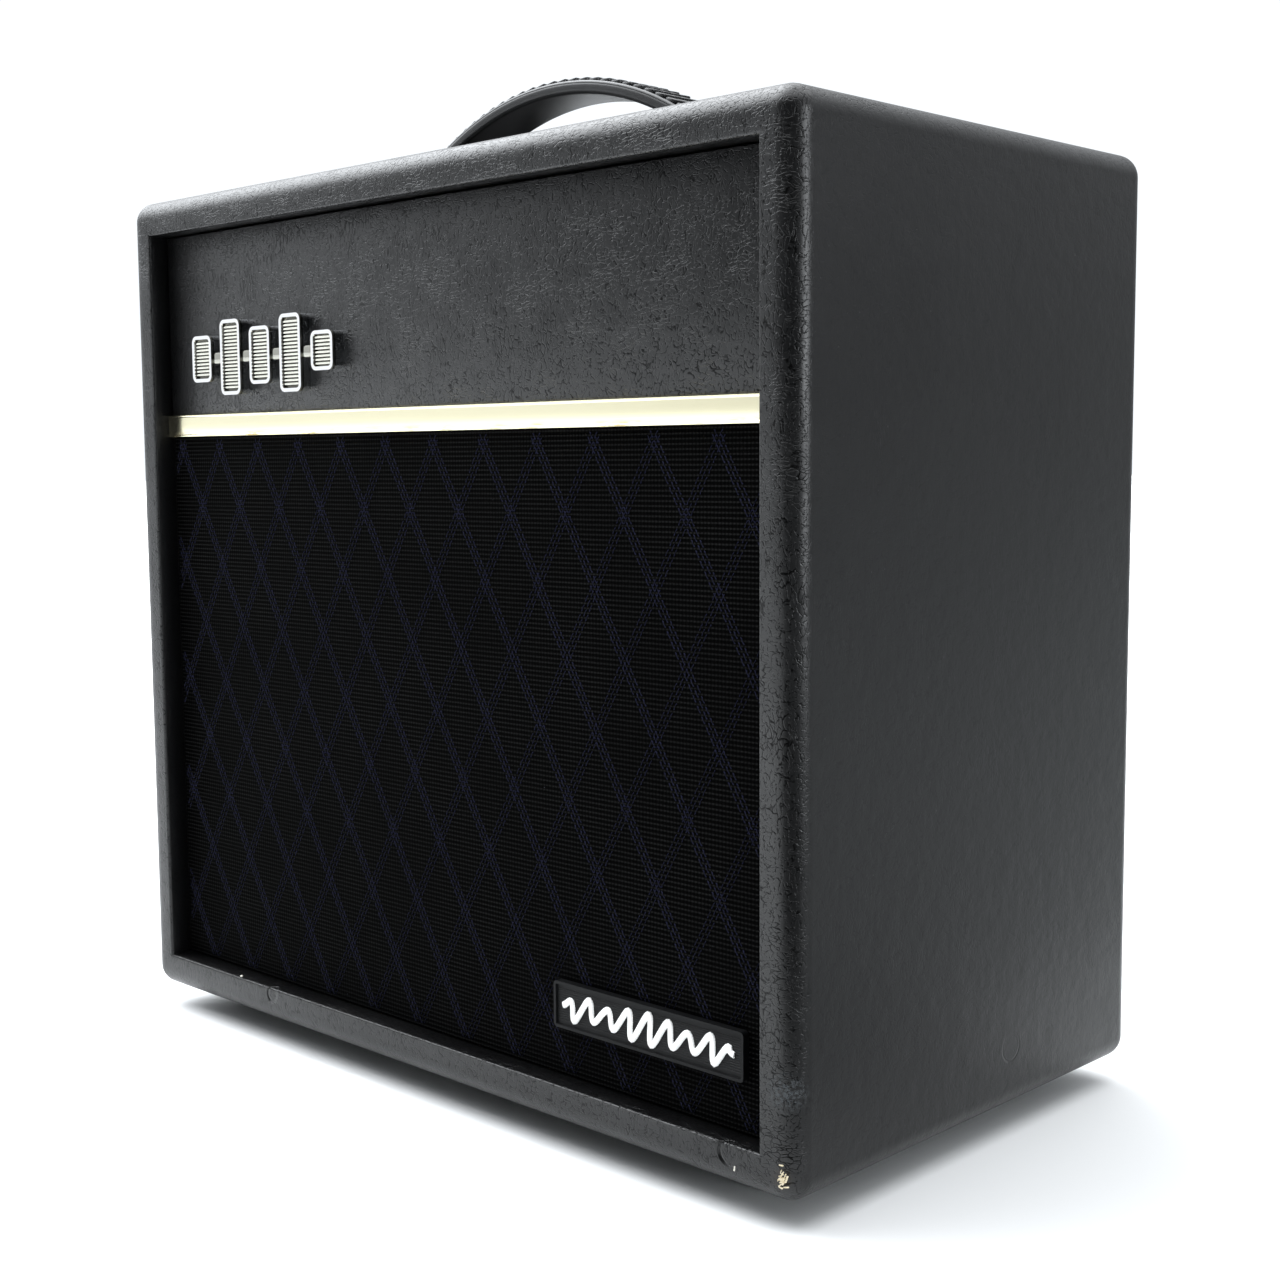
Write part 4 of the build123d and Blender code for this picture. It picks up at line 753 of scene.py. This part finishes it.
# ---------------------------------------------------------------- emblem
def make_badge():
    lower, upper = low("badge"), high("badge")
    middle = (lower.z + upper.z) / 2
    step = (upper.x - lower.x - BADGE_BAR_WIDTH) / (len(BADGE_BARS) - 1)
    bm = bmesh.new()
    for index, tall in enumerate(BADGE_BARS):
        x = lower.x + BADGE_BAR_WIDTH / 2 + index * step
        before = set(bm.faces)
        box_into(bm, (x - BADGE_BAR_WIDTH / 2, lower.y, middle - tall / 2),
                 (x + BADGE_BAR_WIDTH / 2, upper.y, middle + tall / 2), 3.0, 6, along(1))
        face = front_face(bm, before)
        bmesh.ops.inset_region(bm, faces=[face], thickness=BADGE_RIM, use_even_offset=True)
        bmesh.ops.inset_region(bm, faces=[face], thickness=0.25, depth=-1.3, use_even_offset=True)
        ribs = int((tall - 2 * BADGE_RIM - 1.0) / BADGE_RIB)
        for rib in range(ribs):
            z = middle + (rib - (ribs - 1) / 2) * BADGE_RIB
            half = BADGE_BAR_WIDTH / 2 - BADGE_RIM - 0.5
            box_into(bm, (x - half, lower.y + 0.55, z - 0.42), (x + half, lower.y + 1.5, z + 0.42), 0.3, 2,
                     along(0))
        if index:
            box_into(bm, (x - step + BADGE_BAR_WIDTH / 2 - 0.2, lower.y + 0.9, middle - BADGE_LINK / 2),
                     (x - BADGE_BAR_WIDTH / 2 + 0.2, upper.y, middle + BADGE_LINK / 2), 0.6, 2, along(0))
    finish_mesh(bm, "emblem", "cabinet", CHROME, 30, ["badge"])


make_badge()


# ---------------------------------------------------------------- nameplate
def make_nameplate():
    lower, upper = low("nameplate"), high("nameplate")
    bm = bmesh.new()
    before = set(bm.faces)
    box_into(bm, lower, upper, 1.6, 5, along(1))
    face = front_face(bm, before)
    bmesh.ops.inset_region(bm, faces=[face], thickness=1.1, use_even_offset=True)
    bmesh.ops.inset_region(bm, faces=[face], thickness=0.25, depth=-0.9, use_even_offset=True)
    ribs = int((upper.z - lower.z - 4.0) / PLATE_RIB)
    middle = (lower.z + upper.z) / 2
    for rib in range(ribs):
        z = middle + (rib - (ribs - 1) / 2) * PLATE_RIB
        box_into(bm, (lower.x + 1.6, lower.y + 0.7, z - 0.25), (upper.x - 1.6, lower.y + 1.0, z + 0.25),
                 0.12, 1, along(0))
    finish_mesh(bm, "nameplate_body", "cabinet", NAMEPLATE_PLASTIC, 30, ["nameplate"])


def make_trace():
    """A raised white signal trace, which stands where a name would."""
    lower, upper = low("nameplate"), high("nameplate")
    middle = (lower.z + upper.z) / 2
    trace = bpy.data.curves.new("trace_line", "CURVE")
    trace.dimensions = "3D"
    trace.bevel_depth = TRACE_RADIUS * MM
    trace.bevel_resolution = 3
    trace.use_fill_caps = True
    samples = 150
    line = trace.splines.new("POLY")
    line.points.add(samples - 1)
    span = upper.x - lower.x - 9.0
    for index, point in enumerate(line.points):
        share = index / (samples - 1)
        swell = 0.45 + 0.55 * abs(math.cos(math.pi * share * 2.0)) if share < 0.97 else 0.4
        ends = min(1.0, share * 12, (1 - share) * 12)
        height = TRACE_HEIGHT * swell * math.sin(2 * math.pi * share * TRACE_WAVES) * ends
        lean = 0.35 * height
        point.co = ((lower.x + 4.5 + share * span + lean) * MM, 0, (middle + height) * MM, 1)
    holder = bpy.data.objects.new("trace_line", trace)
    bpy.context.scene.collection.objects.link(holder)
    bpy.context.view_layer.update()
    evaluated = holder.evaluated_get(bpy.context.evaluated_depsgraph_get())
    mesh = bpy.data.meshes.new_from_object(evaluated)
    bpy.data.objects.remove(holder)
    bm = bmesh.new()
    bm.from_mesh(mesh)
    bmesh.ops.scale(bm, vec=(1, 0.5, 1), verts=bm.verts)
    bmesh.ops.scale(bm, vec=(1 / MM, 1 / MM, 1 / MM), verts=bm.verts)
    bmesh.ops.translate(bm, vec=(0, lower.y + 0.75, 0), verts=bm.verts)
    finish_mesh(bm, "nameplate_trace", "cabinet", WHITE_PAINT, 60)


make_nameplate()
make_trace()


# ---------------------------------------------------------------- handle
class Arch:
    """Middle line of the strap: an arch, a reverse bend at each end and a flat tab in each cap."""
    radius = 136.5
    foot_radius = 30.0
    tab = 20.0
    thick = 7.0

    def __init__(self):
        lower, upper = low("handle_strap"), high("handle_strap")
        self.y = (lower.y + upper.y) / 2
        self.width = upper.y - lower.y
        self.apex = upper.z - self.thick / 2
        self.floor = lower.z + self.thick / 2
        self.bend = math.acos(1 - (self.apex - self.floor) / (self.radius + self.foot_radius))
        self.arch_run = self.radius * self.bend
        self.foot_run = self.foot_radius * self.bend
        self.half = self.arch_run + self.foot_run + self.tab

    def at(self, run):
        """(x, z, slope) at a distance from the apex along the strap."""
        side, run = (-1, -run) if run < 0 else (1, run)
        if run <= self.arch_run:
            turn = run / self.radius
            x, z = self.radius * math.sin(turn), self.apex - self.radius * (1 - math.cos(turn))
            slope = -turn
        elif run <= self.arch_run + self.foot_run:
            turn = self.bend - (run - self.arch_run) / self.foot_radius
            full = (self.radius + self.foot_radius) * math.sin(self.bend)
            x = full - self.foot_radius * math.sin(turn)
            z = self.floor + self.foot_radius * (1 - math.cos(turn))
            slope = -turn
        else:
            x = (self.radius + self.foot_radius) * math.sin(self.bend) + run - self.arch_run - self.foot_run
            z, slope = self.floor, 0.0
        return side * x, z, side * slope

    def bend_mesh(self, bm):
        """Wraps a flat strap, built along X with its middle at z = 0, onto the line."""
        for vert in bm.verts:
            x, z, slope = self.at(vert.co.x)
            rise = vert.co.z
            vert.co = Vector((x - rise * math.sin(slope), vert.co.y + self.y, z + rise * math.cos(slope)))


def make_handle():
    arch = Arch()
    half_width, half_thick = arch.width / 2, arch.thick / 2
    bm = bmesh.new()
    lower = (-arch.half, -half_width, -half_thick)
    upper = (arch.half, half_width, half_thick - PAD_RISE - 0.2)
    box_into(bm, lower, upper, 1.8, 4, along(0))
    runs = [e for e in bm.edges if along(0)(e)]
    bmesh.ops.subdivide_edges(bm, edges=runs, cuts=STRAP_CUTS, use_grid_fill=True)
    for side in (-1, 1):
        y = side * (half_width - BEAD / 2 - 0.15)
        z = half_thick - PAD_RISE - BEAD / 2 + 0.1
        made = disc_into(bm, (0, y, z), BEAD / 2, 2 * arch.half, "X", 12)
        runs = {e for v in made for e in v.link_edges if along(0)(e)}
        bmesh.ops.subdivide_edges(bm, edges=list(runs), cuts=STRAP_CUTS, use_grid_fill=True)
    arch.bend_mesh(bm)
    finish_mesh(bm, "strap", "cabinet", STRAP_RUBBER, 50, ["handle_strap"])

    pads = bmesh.new()
    rows = int(2 * (arch.half - 4.0) / PAD_PITCH[0])
    for row in range(rows):
        for column in range(4):
            x = (row - (rows - 1) / 2) * PAD_PITCH[0]
            y = (column - 1.5) * PAD_PITCH[1]
            made_before = len(pads.verts)
            box_into(pads, (x - PAD_SIZE[0] / 2, y - PAD_SIZE[1] / 2, half_thick - PAD_RISE - 0.8),
                     (x + PAD_SIZE[0] / 2, y + PAD_SIZE[1] / 2, half_thick - 0.1), 0.55, 2)
            pads.verts.ensure_lookup_table()
            for vert in pads.verts[made_before:]:
                share = (vert.co.x - x) / PAD_SIZE[0]
                if vert.co.z > half_thick - PAD_RISE:
                    vert.co.z -= 0.7 * (0.5 - share)
    arch.bend_mesh(pads)
    finish_mesh(pads, "strap_pads", "cabinet", STRAP_RUBBER, 40)


make_handle()


# ---------------------------------------------------------------- knobs
def make_knobs():
    for joint in frame["joints"]:
        if not joint["name"].endswith("_turn"):
            continue
        control = joint["name"].removesuffix("_turn")
        node = control + "_knob"
        lower, upper = low(node), high(node)
        x, y = joint["pos_m"][0] / MM, joint["pos_m"][1] / MM
        radius = (upper.x - lower.x) / 2
        reach, height = upper.y - y, upper.z - lower.z
        bm = bmesh.new()
        disc_into(bm, (x, y, lower.z + 2.5), radius, 5.0, "Z", 64, 0.7)
        grip = bmesh.new()
        points = [(-4.4, -radius + 1.2), (4.4, -radius + 1.2), (4.7, 0), (1.1, reach), (-1.1, reach),
                  (-4.7, 0)]
        face = grip.faces.new([grip.verts.new((x + a, y + b, lower.z + 1.0)) for a, b in points])
        top = extrude_face(grip, face, (0, 0, height - 1.0))[0]
        bmesh.ops.scale(grip, vec=(0.8, 0.97, 1), space=Matrix.Translation((-x, -y, 0)), verts=top)
        for vert in top:
            if vert.co.y > y + reach / 2:
                vert.co.z -= 2.2
        bmesh.ops.recalc_face_normals(grip, faces=grip.faces)
        bmesh.ops.bevel(grip, geom=list(grip.edges), offset=0.7, segments=3, profile=0.5, affect="EDGES",
                        material=-1)
        mesh = bpy.data.meshes.new("grip")
        grip.to_mesh(mesh)
        grip.free()
        bm.from_mesh(mesh)
        bpy.data.meshes.remove(mesh)
        body = control + "_control"
        finish_mesh(bm, control + "_pointer_knob", body, BLACK_PLASTIC, 35, [node])
        line = bmesh.new()
        box_into(line, (x - 0.45, y + 1.0, upper.z - 0.9),
                 (x + 0.45, y + reach * 0.97 - 0.9, upper.z - 0.02), 0.1, 1)
        for vert in line.verts:
            if vert.co.y > y + reach / 2:
                vert.co.z -= 2.0
        finish_mesh(line, control + "_pointer_line", body, WHITE_PAINT, 30)


make_knobs()


# ---------------------------------------------------------------- printing on the control panel
def make_dial_marks():
    """Eleven ticks round each knob, over its 300 degree sweep, as raised white print."""
    bm = bmesh.new()
    top = high("control_panel").z
    for joint in frame["joints"]:
        if not joint["name"].endswith("_turn"):
            continue
        x, y = joint["pos_m"][0] / MM, joint["pos_m"][1] / MM
        for tick in range(11):
            turn = Matrix.Rotation(math.radians(150 - 30 * tick), 3, "Z")
            length = 2.4 if tick in (0, 5, 10) else 1.6
            turned_box_into(bm, (-0.22, TICK_RADIUS, top - 0.05), (0.22, TICK_RADIUS + length, top + 0.06),
                            turn, (x, y, 0))
    finish_mesh(bm, "dial_marks", "cabinet", WHITE_PAINT, 0)


make_dial_marks()


# ---------------------------------------------------------------- wear
def make_torn_corner():
    """Splintered board showing through the torn vinyl at the lower right front corner."""
    splinters = random.Random(11)
    bm = bmesh.new()
    for _ in range(26):
        x, z = TORN[0] + splinters.gauss(0, 1.0), TORN[2] + splinters.gauss(0, 1.3)
        length, thick = splinters.uniform(1.0, 3.0), splinters.uniform(0.15, 0.45)
        turn = Matrix.Rotation(splinters.uniform(-1.3, 0.4), 3, "Y")
        turn = turn @ Matrix.Rotation(splinters.uniform(-0.25, 0.25), 3, "Z")
        turned_box_into(bm, (-length / 2, -0.25, -thick / 2), (length / 2, 0.25, thick / 2), turn,
                        (x, TORN[1] + splinters.uniform(0.0, 0.35), z))
    for vert in bm.verts:
        vert.co.y = max(vert.co.y, low("vinyl_covering").y + 0.01)
    finish_mesh(bm, "torn_corner", "cabinet", SPLINTER_WOOD, 0)


def make_staples():
    """Ends of two staples that hold the covering, just breaking through it."""
    front = low("vinyl_covering").y
    bm = bmesh.new()
    for x, z, angle in STAPLES:
        turned_box_into(bm, (-0.35, 0.0, -1.0), (0.35, 0.5, 1.0), Matrix.Rotation(angle, 3, "Y"),
                        (x, front, z), 0.12, 1)
    finish_mesh(bm, "staple_ends", "cabinet", NICKEL, 30)


make_torn_corner()
make_staples()

# ---------------------------------------------------------------- floor, light and camera
CAMERA_AT = Vector((0.55033, -0.54629, 0.25286))
YAW, PITCH, ROLL = -0.769, -0.100, -0.007
LENS = 51.08


def make_camera():
    data = bpy.data.cameras.new("camera")
    data.lens = LENS
    data.sensor_width = 36.0
    camera = bpy.data.objects.new("camera", data)
    bpy.context.scene.collection.objects.link(camera)
    ahead = Vector((math.sin(YAW) * math.cos(PITCH), math.cos(YAW) * math.cos(PITCH), math.sin(PITCH)))
    right = Vector((math.cos(YAW), -math.sin(YAW), 0))
    up = right.cross(ahead)
    turned_right = right * math.cos(ROLL) + up * math.sin(ROLL)
    turned_up = -right * math.sin(ROLL) + up * math.cos(ROLL)
    camera.matrix_world = Matrix.Translation(CAMERA_AT) @ Matrix(
        (turned_right, turned_up, -ahead)).transposed().to_4x4()
    bpy.context.scene.camera = camera


def make_floor():
    bm = bmesh.new()
    bmesh.ops.create_grid(bm, x_segments=1, y_segments=1, size=20000.0)
    bmesh.ops.scale(bm, vec=(MM, MM, MM), verts=bm.verts)
    mesh = bpy.data.meshes.new("floor")
    bm.to_mesh(mesh)
    bm.free()
    floor = bpy.data.objects.new("floor", mesh)
    bpy.context.scene.collection.objects.link(floor)
    material, tree, shader, place = new_material("matt_white_sweep", colour("#f8f9f9"), 0.95)
    # painted reflection: for glossy rays only, the floor before the right front corner is painted dark, so
    # the vinyl mirrors a dark patch there
    shade = near_spot(tree, place, (CAMERA_AT.x / MM, CAMERA_AT.y / MM, 0), 330.0, 520.0)
    mirrored = add(tree, "LightPath", out="Is Glossy Ray")
    # painted reflection: for glossy rays only, the floor on the right is painted dimmer than on the left,
    # where the light comes in
    across = add(tree, "SeparateXYZ", {"Vector": place}, out="X")
    dimmed = add(tree, "MapRange", {"Value": across, "From Min": 180 * MM, "From Max": 300 * MM})
    white = add(tree, "Mix",
                {0: add(tree, "Math", {0: dimmed, 1: mirrored}, operation="MULTIPLY"), 6: colour("#f8f9f9"),
                 7: colour("#868888")}, out=2, data_type="RGBA")
    tree.links.new(add(tree, "Mix",
                       {0: add(tree, "Math", {0: shade, 1: mirrored}, operation="MULTIPLY"), 6: white,
                        7: colour("#101010")}, out=2, data_type="RGBA"), shader.inputs["Base Color"])
    far = add(tree, "Math", {0: 1.0, 1: near_spot(tree, place, (0, 0, 0), 450.0, 1500.0)},
              operation="SUBTRACT")
    # seen directly, the floor far away brightens until it meets the white room
    seen = add(tree, "LightPath", out="Is Camera Ray")
    tree.links.new(add(tree, "Math", {0: far, 1: seen}, operation="MULTIPLY"),
                   shader.inputs["Emission Strength"])
    shader.inputs["Emission Color"].default_value = colour("#ffffff")
    mesh.materials.append(material)


def add_light(name, place, aim, size, power, tint="#ffffff"):
    data = bpy.data.lights.new(name, "AREA")
    data.shape = "RECTANGLE"
    data.size, data.size_y = size
    data.energy = power
    data.color = colour(tint)[:3]
    light = bpy.data.objects.new(name, data)
    light.location = place
    light.rotation_euler = (Vector(aim) - Vector(place)).to_track_quat("-Z", "Y").to_euler()
    bpy.context.scene.collection.objects.link(light)


def lobe(tree, direction, towards, wide, narrow):
    """1 within narrow degrees of a direction, falling to 0 at wide degrees."""
    aim = Vector(towards).normalized()
    lined_up = add(tree, "VectorMath", {0: direction, 1: aim}, out="Value", operation="DOT_PRODUCT")
    return add(tree, "MapRange",
               {"Value": lined_up, "From Min": math.cos(math.radians(wide)),
                "From Max": math.cos(math.radians(narrow))})


def make_world():
    """A white room: bright ceiling, two windows on the left, a narrow one on the right and a dark side."""
    world = bpy.data.worlds.new("white_room")
    bpy.context.scene.world = world
    world.use_nodes = True
    tree = world.node_tree
    background = tree.nodes["Background"]
    background.inputs["Color"].default_value = colour("#f7fbff")
    direction = add(tree, "TexCoord", out="Generated")
    ceiling = lobe(tree, direction, (0, 0.1, 1), 78, 35)
    left_window = lobe(tree, direction, (-0.92, -0.40, 0.10), 43, 16)
    right_window = lobe(tree, direction, (0.985, 0.04, 0.12), 17, 9)
    high_window = lobe(tree, direction, (-0.66, -0.06, 0.75), 36, 18)
    dark_side = lobe(tree, direction, (0.45, -0.89, 0.0), 66, 52)
    room = add(tree, "Math", {0: 0.38, 1: add(tree, "Math", {0: ceiling, 1: 0.95}, operation="MULTIPLY")},
               operation="ADD")
    room = add(tree, "Math", {0: room, 1: add(tree, "Math", {0: left_window, 1: 0.66}, operation="MULTIPLY")},
               operation="ADD")
    room = add(tree, "Math",
               {0: room, 1: add(tree, "Math", {0: right_window, 1: 10.0}, operation="MULTIPLY")},
               operation="ADD")
    room = add(tree, "Math", {0: room, 1: add(tree, "Math", {0: high_window, 1: 5.0}, operation="MULTIPLY")},
               operation="ADD")
    lit_side = add(tree, "Math",
                   {0: 1.0, 1: add(tree, "Math", {0: dark_side, 1: 0.96}, operation="MULTIPLY")},
                   operation="SUBTRACT")
    room = add(tree, "Math", {0: room, 1: lit_side}, operation="MULTIPLY")
    seen = add(tree, "LightPath", out="Is Camera Ray")
    strength = add(tree, "Mix", {0: seen, 2: room, 3: 1.1}, data_type="FLOAT")
    tree.links.new(strength, background.inputs["Strength"])


make_camera()
make_floor()
make_world()
add_light("ceiling_panel", (-0.2, 0.0, 2.2), (0, 0, 0), (3.4, 3.4), 62.0, "#fcfdff")
bpy.context.scene.view_settings.view_transform = "Standard"
